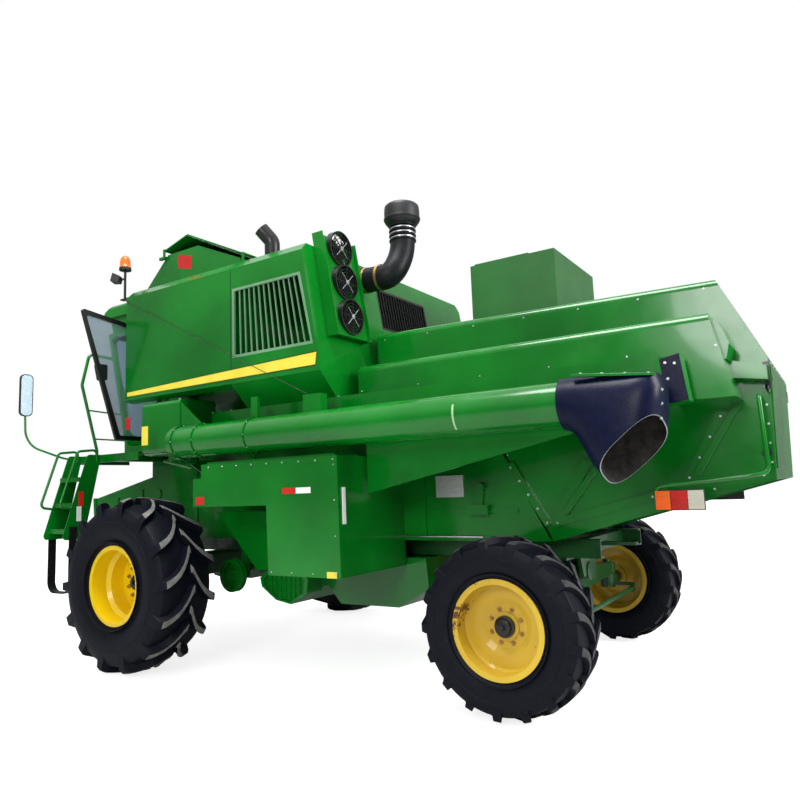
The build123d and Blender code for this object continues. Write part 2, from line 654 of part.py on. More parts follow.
def side_grille():
    """Frame and upright bars that fill the housing's side opening."""
    outline, hole = shrunk(GRILLE, SEAT_GAP), shrunk(GRILLE, GRILLE_FRAME)
    grille = side_prism(outline, TANK_LEFT - 20, TANK_LEFT) - side_prism(hole, TANK_LEFT - 40, TANK_LEFT + 10)
    (front, low), (_, top), (rear_top, _), (rear_low, _) = hole
    for k in range(1, GRILLE_BARS):
        share = k / GRILLE_BARS
        top_x, low_x = front + (rear_top - front) * share, front + (rear_low - front) * share
        grille += side_prism([(low_x, low - 4), (low_x - 9, low - 4), (top_x - 9, top + 4), (top_x, top + 4)],
                             TANK_LEFT - 18, TANK_LEFT - 4)
    return grille


def rear_screen():
    """Framed rotary-screen window in the leaning rear wall, crossed by upright slats."""
    def sheet(y0, y1, z0, z1, near, far):
        return side_prism([(rear_wall(z0) + near, z0), (rear_wall(z1) + near, z1), (rear_wall(z1) + far, z1),
                           (rear_wall(z0) + far, z0)], y0, y1)
    (y0, y1), (z0, z1) = SCREEN_Y, SCREEN_Z
    frame = sheet(y0 + SEAT_GAP, y1 - SEAT_GAP, z0 + SEAT_GAP, z1 - SEAT_GAP, 0, 18)
    frame -= sheet(y0 + 22, y1 - 22, z0 + 22, z1 - 22, -10, 40)
    for k in range(1, 18):
        y = y0 + 22 + (y1 - y0 - 44) * k / 18
        frame += sheet(y - 5, y + 5, z0 + 18, z1 - 18, 4, 14)
    return frame


def exhaust_pipe():
    """Curved tail pipe on a flange."""
    base = (-1400, 1250)
    pipe = bent_tube([(*base, TANK_TOP + SEAT_GAP), (*base, 3870), (-1330, 1320, 3985)], 70, 90)
    foot = turned([(0, TANK_TOP + SEAT_GAP), (100, TANK_TOP + SEAT_GAP), (100, 3668), (0, 3668)], *base)
    return pipe + foot


def air_intake():
    """Hose from the housing, elbow, ribbed neck and pre-cleaner bowl."""
    hose = bent_tube([INTAKE_START, INTAKE_TURN, (-2450, 660, 3680), (*INTAKE_TOP, 3960)], INTAKE_R, 120)
    for z in (3800, 3850, 3900):
        hose += turned([(0, z - 10), (INTAKE_R + 10, z - 10), (INTAKE_R + 10, z + 10), (0, z + 10)], *INTAKE_TOP)
    bowl = turned([(0, 3930), (120, 3930), (158, 3965), (168, 3990), (168, 4010), (160, 4018), (160, 4136, 12),
                   (120, 4150), (0, 4150)], *INTAKE_TOP)
    return hose + bowl


def fan_x(z):
    """Outer face of the cooler box, which follows the leaning rear wall."""
    return rear_wall(z) - COOLER_DEPTH


def cooler_panel():
    """Oil cooler box on the rear wall, with flanges, and round openings for its three fans."""
    back = COOLER_DEPTH - SEAT_GAP
    (y0, y1), (z0, z1) = COOLER_Y, COOLER_Z
    panel = side_prism([(fan_x(z0) + back, z0), (fan_x(z0), z0), (fan_x(z1), z1), (fan_x(z1) + back, z1)],
                       y0, y1)
    low, top = z0 - 15, z1 + 15
    for y in (y0 - 8, y1):
        panel += side_prism([(fan_x(low) + back, low), (fan_x(low) - 35, low), (fan_x(top) - 35, top),
                             (fan_x(top) + back, top)], y, y + 8)
    for z in FAN_Z:
        panel -= rod((fan_x(z) - 60, FAN_Y, z), (fan_x(z) + 160, FAN_Y, z), FAN_R + 8)
        panel += block(fan_x(z) + 52, fan_x(z) + 62, y0, y1, z - 20, z + 20)
        panel -= rod((fan_x(z) + 40, FAN_Y, z), (fan_x(z) + 70, FAN_Y, z), FAN_SHAFT_R + RUN_FIT)
    return panel


def fan_guard(z):
    """Round shroud on the cooler's leaning face, with a grid of flat rings and spokes over one fan."""
    x = fan_x(z)
    guard = rod((x - 42, FAN_Y, z), (x + 40, FAN_Y, z), FAN_R + 20, FAN_R + 6)
    low, top = z - 250, z + 250
    guard -= side_prism([(fan_x(low) - SEAT_GAP, low), (fan_x(top) - SEAT_GAP, top), (x + 200, top),
                         (x + 200, low)], FAN_Y - 200, FAN_Y + 200)
    grid = rod((x - 42, FAN_Y, z), (x - 36, FAN_Y, z), 32)
    for radius in (62, 91, 119):
        grid += rod((x - 42, FAN_Y, z), (x - 36, FAN_Y, z), radius + 3, radius - 3)
    for k in range(4):
        spoke = Pos(x - 39, FAN_Y, z) * Rot(45 * k, 0, 0) * Box(6, 2 * FAN_R + 24, 6)
        grid += spoke
    return guard + grid


def fan_rotor(z):
    """Hub on its shaft with seven pitched blades."""
    rotor = rod((fan_x(z) + 12, FAN_Y, z), (fan_x(z) + 46, FAN_Y, z), 42)
    rotor += rod((fan_x(z) + 46, FAN_Y, z), (fan_x(z) + 62, FAN_Y, z), FAN_SHAFT_R)
    blade = Pos(0, 0, 82) * Rot(0, 0, 35) * Box(7, 46, 96)
    for k in range(7):
        rotor += Pos(fan_x(z) + 29, FAN_Y, z) * Rot(360 * k / 7, 0, 0) * blade
    return rotor


TANK_BOX = {"front": -2800.0, "rear": -3640.0, "right": -1130.0, "top": 3655.0}


def fuel_tank():
    """Folded fuel tank on the hood, with its long lid."""
    front, rear, right, top = TANK_BOX["front"], TANK_BOX["rear"], TANK_BOX["right"], TANK_BOX["top"]
    tank = side_prism([(rear, hood_top(rear) + SEAT_GAP), (front, hood_top(front) + SEAT_GAP), (front, top),
                       (rear, top)], right, 0)
    lid = block(front - 560, front - 40, right + 80, -60, top - 1, top + 16)
    lid += block(front - 575, front - 25, right + 65, -45, top + 16, top + 26)
    return tank + lid


save("engine_housing", engine_housing())
save("side_grille", side_grille())
save("rear_screen", rear_screen())
save("engine_block", block(-1950, -1300, -500, 450, BODY_TOP + SEAT_GAP + PANEL, 3050))
save("exhaust_pipe", exhaust_pipe())
save("air_intake", air_intake())
save("cooler_panel", cooler_panel())
save("fan_guards", *[fan_guard(z) for z in FAN_Z])
for index, z in enumerate(FAN_Z):
    save(f"fan_rotor_{index + 1}", fan_rotor(z))
save("fuel_tank", fuel_tank())


# Cab: floor, sills, corner posts and head frame round rounded window openings
GLASS = 6.0
SIDE_WINDOW = [(CAB_REAR + 125, 2140, 30), (CAB_LOW_X - 60, 2140, 40), (CAB_LOW_X - 50, CAB_SILL, 40),
               (CAB_HEAD_X - 55, CAB_HEAD_Z - 45, 60), (CAB_REAR + 125, CAB_HEAD_Z - 45, 40)]
FRONT_WINDOW = [(60 - CAB_HALF, 2260, 90), (CAB_HALF - 60, 2260, 90), (CAB_HALF - 60, CAB_HEAD_Z - 60, 70),
                (60 - CAB_HALF, CAB_HEAD_Z - 60, 70)]


def cab_outline(inset, floor, extra):
    """Side outline of the cab: upright rear, raked windscreen."""
    return [(CAB_REAR + inset, floor), (CAB_LOW_X - inset, floor), (CAB_LOW_X - inset, CAB_SILL),
            (CAB_HEAD_X - inset, CAB_HEAD_Z + extra), (CAB_REAR + inset, CAB_HEAD_Z + extra)]


def cab_shell():
    """Floor, rear wall, sills, corner posts and head frame, with the door's hinge brackets."""
    shell = side_prism(cab_outline(0, DECK_Z + SEAT_GAP, 0), -CAB_HALF, CAB_HALF)
    shell -= side_prism(cab_outline(CAB_WALL, DECK_Z + 50, 10), CAB_WALL - CAB_HALF, CAB_HALF - CAB_WALL)
    shell -= side_prism(SIDE_WINDOW, -CAB_HALF - 10, CAB_HALF + 10)
    shell -= cross_prism(FRONT_WINDOW, 900, 1700)
    for z0, z1, pin_z0, pin_z1 in ((2130, 2149, 2130, 2159), (3318, 3337, 3298, 3337)):
        shell += plan_prism([(DOOR_HINGE_X - 12, CAB_HALF - 10), (DOOR_HINGE_X + 12, CAB_HALF - 10),
                             (DOOR_HINGE_X + 12, DOOR_HINGE_Y + 12, 8), (DOOR_HINGE_X - 12, DOOR_HINGE_Y + 12, 8)],
                            z0, z1)
        shell += rod((DOOR_HINGE_X, DOOR_HINGE_Y, pin_z0), (DOOR_HINGE_X, DOOR_HINGE_Y, pin_z1), DOOR_PIN)
    return shell


def cab_roof():
    """Lining box and the roof cap that overhangs it."""
    low = CAB_HEAD_Z + SEAT_GAP
    lining = side_prism([(CAB_REAR, low), (1450, low), (1500, 3690), (CAB_REAR, 3690)], 40 - CAB_HALF,
                        CAB_HALF - 40)
    edge = CAB_HALF + 20
    cap = side_prism([(CAB_REAR, 3670), (1490, 3670), (1545, 3700, 20), (1530, 3740, 20),
                      (1400, CAB_ROOF_Z, 60), (CAB_REAR, CAB_ROOF_Z)], -edge, edge)
    cap &= cross_prism([(-edge, 3670), (edge, 3670), (edge, CAB_ROOF_Z, 50), (-edge, CAB_ROOF_Z, 50)],
                       CAB_REAR, 1600)
    return lining + cap


def cab_glass():
    """Windscreen and right-hand window, set in their openings."""
    slope = (CAB_HEAD_X - CAB_LOW_X) / (CAB_HEAD_Z - CAB_SILL)
    low = CAB_LOW_X - 22 + slope * (2200 - CAB_SILL)
    top = CAB_LOW_X - 22 + slope * (3500 - CAB_SILL)
    screen = side_prism([(low, 2200), (low + GLASS, 2200), (top + GLASS, 3500), (top, 3500)], -CAB_HALF,
                        CAB_HALF)
    gap = SEAT_GAP
    screen &= cross_prism([(60 - CAB_HALF + gap, 2260 + gap, 90), (CAB_HALF - 60 - gap, 2260 + gap, 90),
                           (CAB_HALF - 60 - gap, CAB_HEAD_Z - 60 - gap, 70),
                           (60 - CAB_HALF + gap, CAB_HEAD_Z - 60 - gap, 70)], 900, 1700)
    window = side_prism([(CAB_REAR + 125 + gap, 2140 + gap, 30), (CAB_LOW_X - 60 - gap, 2140 + gap, 40),
                         (CAB_LOW_X - 50 - gap, CAB_SILL, 40),
                         (CAB_HEAD_X - 55 - 1.3 * gap, CAB_HEAD_Z - 45 - gap, 60),
                         (CAB_REAR + 125 + gap, CAB_HEAD_Z - 45 - gap, 40)],
                        14 - CAB_HALF, 14 + GLASS - CAB_HALF)
    return screen, window


def door_outline(inset):
    """Door outline, drawn across the machine as it stands open."""
    y0 = DOOR_HINGE_Y
    return [(y0 + inset, 2150 + inset, 15), (y0 + 540 - inset, 2150 + inset, 25),
            (y0 + 940 - 1.1 * inset, 3430 - 1.2 * inset, 25), (y0 + inset, 3310 - inset, 15)]


def cab_door():
    """Door frame with its hinge tube and lock case, standing open square to the cab's side."""
    door = cross_prism(door_outline(0), DOOR_HINGE_X, DOOR_HINGE_X + DOOR_THICK)
    door -= cross_prism(door_outline(DOOR_FRAME), DOOR_HINGE_X - 10, DOOR_HINGE_X + 60)
    door += Pos(DOOR_HINGE_X, DOOR_HINGE_Y, (2150 + 3310) / 2) * Rot(0, 0, -135) * Cylinder(14, 3310 - 2150)
    door += cross_prism([(1655, 2740, 15), (1730, 2740, 15), (1765, 2900, 15), (1655, 2900, 15)],
                        DOOR_HINGE_X + 4, DOOR_HINGE_X + 68)
    for z in (2140, 3290):
        door -= rod((DOOR_HINGE_X, DOOR_HINGE_Y, z), (DOOR_HINGE_X, DOOR_HINGE_Y, z + 30), DOOR_PIN + RUN_FIT)
    return door


def door_glass():
    """Pane of the door, cut round the lock case."""
    pane = cross_prism(door_outline(DOOR_FRAME + SEAT_GAP), DOOR_HINGE_X + 12, DOOR_HINGE_X + 12 + GLASS)
    return pane - block(DOOR_HINGE_X, DOOR_HINGE_X + 80, 1655 - SEAT_GAP, 1800, 2740 - SEAT_GAP,
                        2900 + SEAT_GAP)


def operator_seat():
    """Pedestal, cushion, backrest and armrests."""
    floor = DECK_Z + 50 + SEAT_GAP
    seat = block(560, 860, -170, 170, floor, 2380)
    seat += side_prism([(500, 2370, 20), (950, 2390, 40), (950, 2500, 40), (500, 2480, 20)], -250, 250)
    seat += side_prism([(480, 2420, 20), (575, 2420, 20), (500, 3100, 40), (420, 3100, 40)], -235, 235)
    return seat + both(side_prism([(470, 2640, 20), (800, 2650, 20), (800, 2700, 20), (460, 2690, 20)], 236, 300)
                       + side_prism([(520, 2480), (570, 2480), (560, 2650), (510, 2650)], 225, 260))


def steering_console():
    """Column, steering wheel with three spokes and the control box on the right."""
    floor = DECK_Z + 50 + SEAT_GAP
    tilt = Pos(1020, 0, 2745) * Rot(0, -28, 0)
    console = side_prism([(1040, floor), (1110, floor), (1085, 2500), (1040, 2740), (990, 2720)], -40, 40)
    wheel = revolve(Plane.XZ * (Pos(195, 0) * Circle(14)), Axis.Z)
    for k in range(3):
        wheel += Rot(0, 0, 120 * k) * Box(195, 26, 12, align=(Align.MIN, Align.CENTER, Align.CENTER))
    console += tilt * (wheel + Cylinder(35, 40))
    box = side_prism([(560, floor), (1010, floor), (1010, 2520, 30), (900, 2700, 30), (560, 2640, 30)], -560, -390)
    return console, box


save("cab_shell", cab_shell())
save("cab_roof", cab_roof())
save("cab_glass", *cab_glass())
save("cab_door", cab_door())
save("cab_door_glass", door_glass())
save("operator_seat", operator_seat())
save("steering_console", *steering_console())


# Platform, ladder and rails
SKIRT_LOW = 1948.0


def platform():
    """Deck plate on two bearers, with a skirt along its left side and toe strips."""
    y0 = -CAB_HALF - 20
    deck = block(TANK_FRONT + 5, DECK_FRONT, y0, DECK_Y, DECK_Z - DECK_PLATE, DECK_Z)
    for x in (400, 790):
        deck += block(x, x + 60, -BODY_HALF, BODY_HALF, DECK_LOW, DECK_Z - DECK_PLATE)
    deck += block(TANK_FRONT + 5, DECK_FRONT, DECK_Y - 14, DECK_Y, SKIRT_LOW, DECK_Z)
    deck += block(TANK_FRONT + 5, DECK_FRONT, y0, y0 + 14, SKIRT_LOW, DECK_Z)
    deck += block(DECK_FRONT - 14, DECK_FRONT, 690, DECK_Y, SKIRT_LOW, DECK_Z)
    deck += block(DECK_FRONT - 14, DECK_FRONT, y0, -690, SKIRT_LOW, DECK_Z)
    outrigger = block(700, 760, BODY_HALF + SEAT_GAP, DECK_Y - 14, SKIRT_LOW, DECK_Z - DECK_PLATE)
    arm = block(DECK_FRONT - 60, DECK_FRONT, -DECK_Y, y0, DECK_Z - 40, DECK_Z)
    return deck + outrigger + arm


LADDER_TOP = (1390.0, DECK_Z)
LADDER_FOOT = (1690.0, 1170.0)
LADDER_X = (950.0, 1290.0)
TREADS = (1250.0, 1510.0, 1770.0)
STRINGER = 10.0


def ladder_y(z):
    """Inner edge of the raked ladder at height z."""
    share = (z - LADDER_FOOT[1]) / (LADDER_TOP[1] - LADDER_FOOT[1])
    return LADDER_FOOT[0] - 120 + (LADDER_TOP[0] - LADDER_FOOT[0] + 120) * share


def ladder():
    """Two raked stringer plates, treads with raised lips, and a hand loop on each stringer."""
    gap = SEAT_GAP
    plate = [(LADDER_TOP[0] + gap, LADDER_TOP[1]), (LADDER_TOP[0] + 155, LADDER_TOP[1], 40),
             (LADDER_FOOT[0] + 120, LADDER_FOOT[1], 40), (LADDER_FOOT[0] - 120, LADDER_FOOT[1])]
    x0, x1 = LADDER_X
    steps = cross_prism(plate, x0, x0 + STRINGER) + cross_prism(plate, x1, x1 + STRINGER)
    for z in TREADS:
        y = ladder_y(z)
        steps += block(x0 + 5, x1 + 5, y + 10, y + 190, z, z + 16)
        steps += block(x0 + 5, x1 + 5, y + 178, y + 190, z - 20, z + 28)
    for x in (x0 + STRINGER / 2, x1 + STRINGER / 2):
        steps += bent_tube([(x, LADDER_FOOT[0] + 20, 1480), (x, LADDER_FOOT[0] + 150, 1500), (x, 1655, 2060),
                            (x, 1440, 2080), (x, 1440, 1960)], 13, 45)
    return steps


# Guard rail in one plane at the front of the deck: (distance to the left, height) of its bends
RAIL_X = DECK_FRONT - 20
RAIL_BENDS = [(1120, DECK_Z), (1120, 2110), (1317, 2840), (1235, 3200), (930, 3190), (753, 2720),
              (733, 2250), (733, DECK_Z)]
# Cross bars: left end, right end, height of the left end, height of the right end
RAIL_BARS = [(1231, 745, 2560, 2535), (1150, 740, 2240, 2235)]


def guard_rail():
    """Bent tube with cross bars, on two foot plates."""
    points = [(RAIL_X, y, z) for y, z in RAIL_BENDS]
    points[0] = (RAIL_X, RAIL_BENDS[0][0], DECK_Z + SEAT_GAP)
    points[-1] = (RAIL_X, RAIL_BENDS[-1][0], DECK_Z + SEAT_GAP)
    rail = bent_tube(points, RAIL_TUBE, 60)
    for y0, y1, z0, z1 in RAIL_BARS:
        rail += rod((RAIL_X, y0, z0), (RAIL_X, y1, z1), 9)
    for y, _ in (RAIL_BENDS[0], RAIL_BENDS[-1]):
        rail += block(RAIL_X - 35, RAIL_X + 15, y - 35, y + 35, DECK_Z + SEAT_GAP, DECK_Z + 8)
    return rail


STRAP_Z = 640.0


def step_strap():
    """Rubber strap loop that hangs from the ladder's two stringers as the lowest step."""
    x0, x1 = LADDER_X[0] - SEAT_GAP, LADDER_X[1] + STRINGER + SEAT_GAP
    outer = [(x0 - 12, 1300), (x0 - 12, STRAP_Z, 110), (x1 + 12, STRAP_Z, 110), (x1 + 12, 1300)]
    inner = [(x0, 1310), (x0, STRAP_Z + 12, 98), (x1, STRAP_Z + 12, 98), (x1, 1310)]
    return side_prism(outer, 1655, 1735) - side_prism(inner, 1650, 1740)


def mirror_arm():
    """Bent tube arm from the deck's corner and the oval mirror head."""
    x = RAIL_X
    arm = bent_tube([(x, DECK_Y + SEAT_GAP, DECK_Z - 20), (x, 1500, DECK_Z - 20), (x, 1650, DECK_Z + 30),
                     (x + 60, 1820, DECK_Z + 100), (x + 90, 1885, DECK_Z + 220), (x + 110, 1885, 2520)], 12, 60)
    head = cross_prism([(1815, 2460, 50), (1950, 2460, 50), (1950, 2905, 50), (1815, 2905, 50)], x + 88,
                       x + 140)
    return arm + head


def beacon():
    """Bracket on the tank's front wall, post, rotating beacon and work lamp."""
    lamp = block(TANK_FRONT, 620, 1360, 1440, 3606, 3660)
    lamp += block(TANK_FRONT, TANK_FRONT + 12, 1330, 1460, 3520, 3660)
    lamp += rod((570, 1400, 3650), (570, 1400, 3975), 16)
    lamp += turned([(0, 3960), (62, 3960), (62, 3990), (56, 3990), (52, 4100, 20), (30, 4130), (0, 4130)],
                   570, 1400)
    lamp += rod((570, 1400, 3870), (615, 1440, 3850), 12)
    lamp += Pos(640, 1462, 3870) * Rot(0, -15, 35) * Box(70, 150, 110)
    return lamp


save("platform", platform())
save("ladder", ladder())
save("guard_rail", guard_rail())
save("step_strap", step_strap())
save("mirrors", mirror_arm(), mirrored(mirror_arm()))
save("beacon", beacon())


# Unloading auger
def auger_tube():
    """Elbow housing with its gusset, and the tube with flanges, all swinging as one."""
    elbow = cross_prism([(1180, ELBOW_LOW, 60), (1180, ELBOW_TOP, 25), (1610, ELBOW_TOP, 45),
                         (1610, ELBOW_LOW, 60)], -560, -20)
    elbow += side_prism([(-545, ELBOW_TOP - 20), (-545, 2190), (-860, 2190)], 1588, 1600)
    tube = rod((-520, AUGER_Y, AUGER_Z), (AUGER_END, AUGER_Y, AUGER_Z), AUGER_R)
    for x0, x1 in ((-600, -560), (-872, -856), (-1506, -1490)):
        tube += rod((x0, AUGER_Y, AUGER_Z), (x1, AUGER_Y, AUGER_Z), AUGER_R + 12)
    tube -= rod((-700, AUGER_Y, AUGER_Z), (AUGER_END - 10, AUGER_Y, AUGER_Z), AUGER_R - 8)
    for z0, z1 in ((ELBOW_LOW - 10, ELBOW_LOW + 35), (ELBOW_TOP - 35, ELBOW_TOP + 10)):
        elbow -= rod((AUGER_PIVOT_X, AUGER_PIVOT_Y, z0), (AUGER_PIVOT_X, AUGER_PIVOT_Y, z1), SPIGOT_R + RUN_FIT)
    top = AUGER_Z + AUGER_R
    post = block(-1545, -1470, 1585, 1615, top - 20, 2375)
    plate = block(-2249, -2068, 1560, 1640, top - 30, 2330)
    return elbow + tube + post + plate


# Spout sections: distance ahead, centre height, tilt of the section, half height, half width
SPOUT = [(AUGER_END, 2050.0, 0.0, 165.0, 165.0), (-4330.0, 2035.0, 12.0, 178.0, 170.0),
         (-4480.0, 1935.0, 38.0, 215.0, 176.0), (-4580.0, 1795.0, 62.0, 212.0, 176.0)]
SPOUT_WALL = 9.0


def spout_body(shrink, reach):
    """Smooth chute through the spout's sections, made smaller by shrink and longer by reach."""
    sections = []
    for k, (x, z, tilt, high, wide) in enumerate(SPOUT):
        lean = radians(tilt)
        push = -reach if k == 0 else (reach if k == len(SPOUT) - 1 else 0)
        origin = (x - push * cos(lean), AUGER_Y, z - push * sin(lean))
        plane = Plane(origin=origin, x_dir=(0, 1, 0), z_dir=(-cos(lean), 0, -sin(lean)))
        sections.append(plane * Ellipse(wide - shrink, high - shrink))
    return loft(sections)


def auger_spout():
    """Rubber chute, turned down and open at its end."""
    sleeve = rod((AUGER_END + 60, AUGER_Y, AUGER_Z), (AUGER_END, AUGER_Y, AUGER_Z), AUGER_R + 20)
    sleeve -= rod((AUGER_END + 70, AUGER_Y, AUGER_Z), (AUGER_END - 1, AUGER_Y, AUGER_Z), AUGER_R + SEAT_GAP)
    return sleeve + (spout_body(0, 0) - spout_body(SPOUT_WALL, 30))


def auger_pivot_base():
    """Lower pivot bracket on the body's side, with its stay."""
    x, y = AUGER_PIVOT_X, AUGER_PIVOT_Y
    foot = turned([(0, 1870), (110, 1870), (145, 1900), (145, ELBOW_LOW - 5), (0, ELBOW_LOW - 5)], x, y)
    foot += rod((x, y, ELBOW_LOW - 10), (x, y, ELBOW_LOW + 30), SPIGOT_R)
    wall = BODY_HALF + SEAT_GAP
    arm = plan_prism([(x - 150, wall), (x + 150, wall), (x + 100, y), (x - 100, y)], 1872, 1900)
    web = cross_prism([(wall, 1880), (wall, 1600), (y - 60, 1880)], x - 8, x + 8)
    return foot + arm + web


save("auger_tube", auger_tube())
save("auger_spout", auger_spout())
save("auger_pivot_base", auger_pivot_base())


# Drive shields, cleaning shoe and belt drives on the left
SHIELD_Y = 1700.0
SHIELD_TOP = 1828.0
SHIELD_LOW = 918.0


def drive_shield():
    """Boxed shield with its rear lower edge folded in, and the slanted inner guard ahead of it."""
    points = [(-948, SHIELD_TOP), (-2440, SHIELD_TOP), (-2453, SHIELD_LOW), (-1728, SHIELD_LOW),
              (-1711, 1466), (-846, 1466), (-846, 1710), (-948, 1710)]
    hollow = [(-900, 1480), (-900, 1695), (-960, 1815), (-2428, 1815), (-2441, SHIELD_LOW + PANEL),
              (-1740, SHIELD_LOW + PANEL), (-1723, 1480)]
    shield = side_prism(points, BODY_HALF + SEAT_GAP, SHIELD_Y)
    shield -= side_prism(hollow, BODY_HALF - 10, SHIELD_Y - PANEL)
    shield += block(-2400, -990, 1380, SHIELD_Y - 30, SHIELD_TOP - 1, SHIELD_TOP + 18)
    guard = side_prism([(-375, 1396), (-912, 851), (-1065, 855), (-1045, 1129), (-1045, 1396)],
                       BODY_HALF + SEAT_GAP, 1000)
    return shield, guard


# Fan drum outline below the frame, and the pan behind it
SHOE_LOW = [(-900, 975), (-961, 743), (-1135, 589), (-1317, 559), (-1532, 697), (-1560, 735),
            (-1731, 556), (-2350, 558), (-2653, 721), (-2632, 975)]
SCREEN_OCTAGON = [(-940, 780), (-961, 700), (-1135, 589), (-1317, 559), (-1505, 660), (-1523, 790),
                  (-1440, 850), (-1040, 850)]


def cleaning_shoe():
    """Cleaning pan and fan drum under the frame, with an octagonal inlet screen on each side."""
    shoe = side_prism(SHOE_LOW, -780, 780)
    shoe += block(-2620, -960, -RAIL_Y + RAIL_HALF + 10, RAIL_Y - RAIL_HALF - 10, 970, RAIL_Z1 - SEAT_GAP)
    inlet = side_prism(SCREEN_OCTAGON, 779, 990)
    centre = (-1240, 705)
    hole = side_prism([(centre[0] + (x - centre[0]) * 0.86, centre[1] + (z - centre[1]) * 0.86)
                       for x, z in SCREEN_OCTAGON], 960, 1000)
    inlet -= hole
    for k in range(-4, 5):
        inlet += block(centre[0] + k * 56 - 4, centre[0] + k * 56 + 4, 958, 975, 560, 850) & hole
    for k in range(-2, 4):
        inlet += block(-1540, -940, 958, 975, centre[1] + k * 50 - 4, centre[1] + k * 50 + 4) & hole
    return shoe + inlet + mirrored(inlet)


# Pulleys on the left: distance ahead, height, radius, inner end of the shaft, outer face
PULLEYS = [
    (-460, 770, 160, 700, 900),
    (-1900, 1650, 110, BODY_HALF + SEAT_GAP, 1100),
    (-2180, 1180, 200, BODY_HALF + SEAT_GAP, 1100),
]
GROOVE = 16.0
BELT_SINK = 4.0


def pulley(x, z, radius, inner, outer):
    """Grooved pulley with a thin web, on its shaft."""
    wheel = ring([(0, outer - 60), (radius, outer - 60), (radius, outer - 50), (radius - GROOVE, outer - 50),
                  (radius - GROOVE, outer - 10), (radius, outer - 10), (radius, outer), (0.78 * radius, outer),
                  (0.74 * radius, outer - 20), (60, outer - 20), (60, outer + 10), (0, outer + 10)], x, 0, z)
    return wheel + cross_rod(x, z, inner, outer - 20, 25)


def belt_band(grow):
    """Solid outline of the belt round its two pulleys, its radii changed by grow."""
    (x0, z0, r0, _, outer), (x1, z1, r1, _, _) = PULLEYS[1:]
    near, far = outer - 46, outer - 14
    heading = atan2(z1 - z0, x1 - x0)
    tilt = asin((r1 - r0) / hypot(x1 - x0, z1 - z0))
    corners = []
    for turn, ends in ((heading + pi / 2 + tilt, 1), (heading - pi / 2 - tilt, -1)):
        for x, z, r in ((x0, z0, r0 + grow), (x1, z1, r1 + grow))[::ends]:
            corners.append((x + r * cos(turn), z + r * sin(turn)))
    band = side_prism(corners, near, far) + cross_rod(x0, z0, near, far, r0 + grow)
    return band + cross_rod(x1, z1, near, far, r1 + grow)


def belt_drives():
    """Traction pulley on its bracket, and the pulleys and belt under the shield."""
    wheels = [pulley(*row) for row in PULLEYS]
    wheels[0] += block(-500, -420, 680, 720, 730, RAIL_Z1 - SEAT_GAP)
    return wheels, belt_band(-BELT_SINK) - belt_band(SEAT_GAP - GROOVE)


def grain_elevator():
    """Clean grain elevator leg on the right, with rounded foot and head."""
    leg = side_prism(strap((-1935, 760), (-880, 2240), 190), -BODY_HALF - 225, -BODY_HALF - SEAT_GAP)
    for x, z in ((-1935, 760), (-880, 2210)):
        leg += cross_rod(x, z, -BODY_HALF - 225, -BODY_HALF - SEAT_GAP, 110)
    return leg + cross_rod(-1935, 760, -BODY_HALF - 300, -BODY_HALF - 220, 60)


save("drive_shield", *drive_shield())
save("cleaning_shoe", cleaning_shoe())
save("grain_elevator", grain_elevator())


# Feeder house and its lift cylinders
def mouth_x(z):
    """Distance ahead of the feeder's raked front face at height z."""
    return FEEDER_MOUTH - MOUTH_RAKE * (MOUTH_TOP - z) / (MOUTH_TOP - MOUTH_LOW)


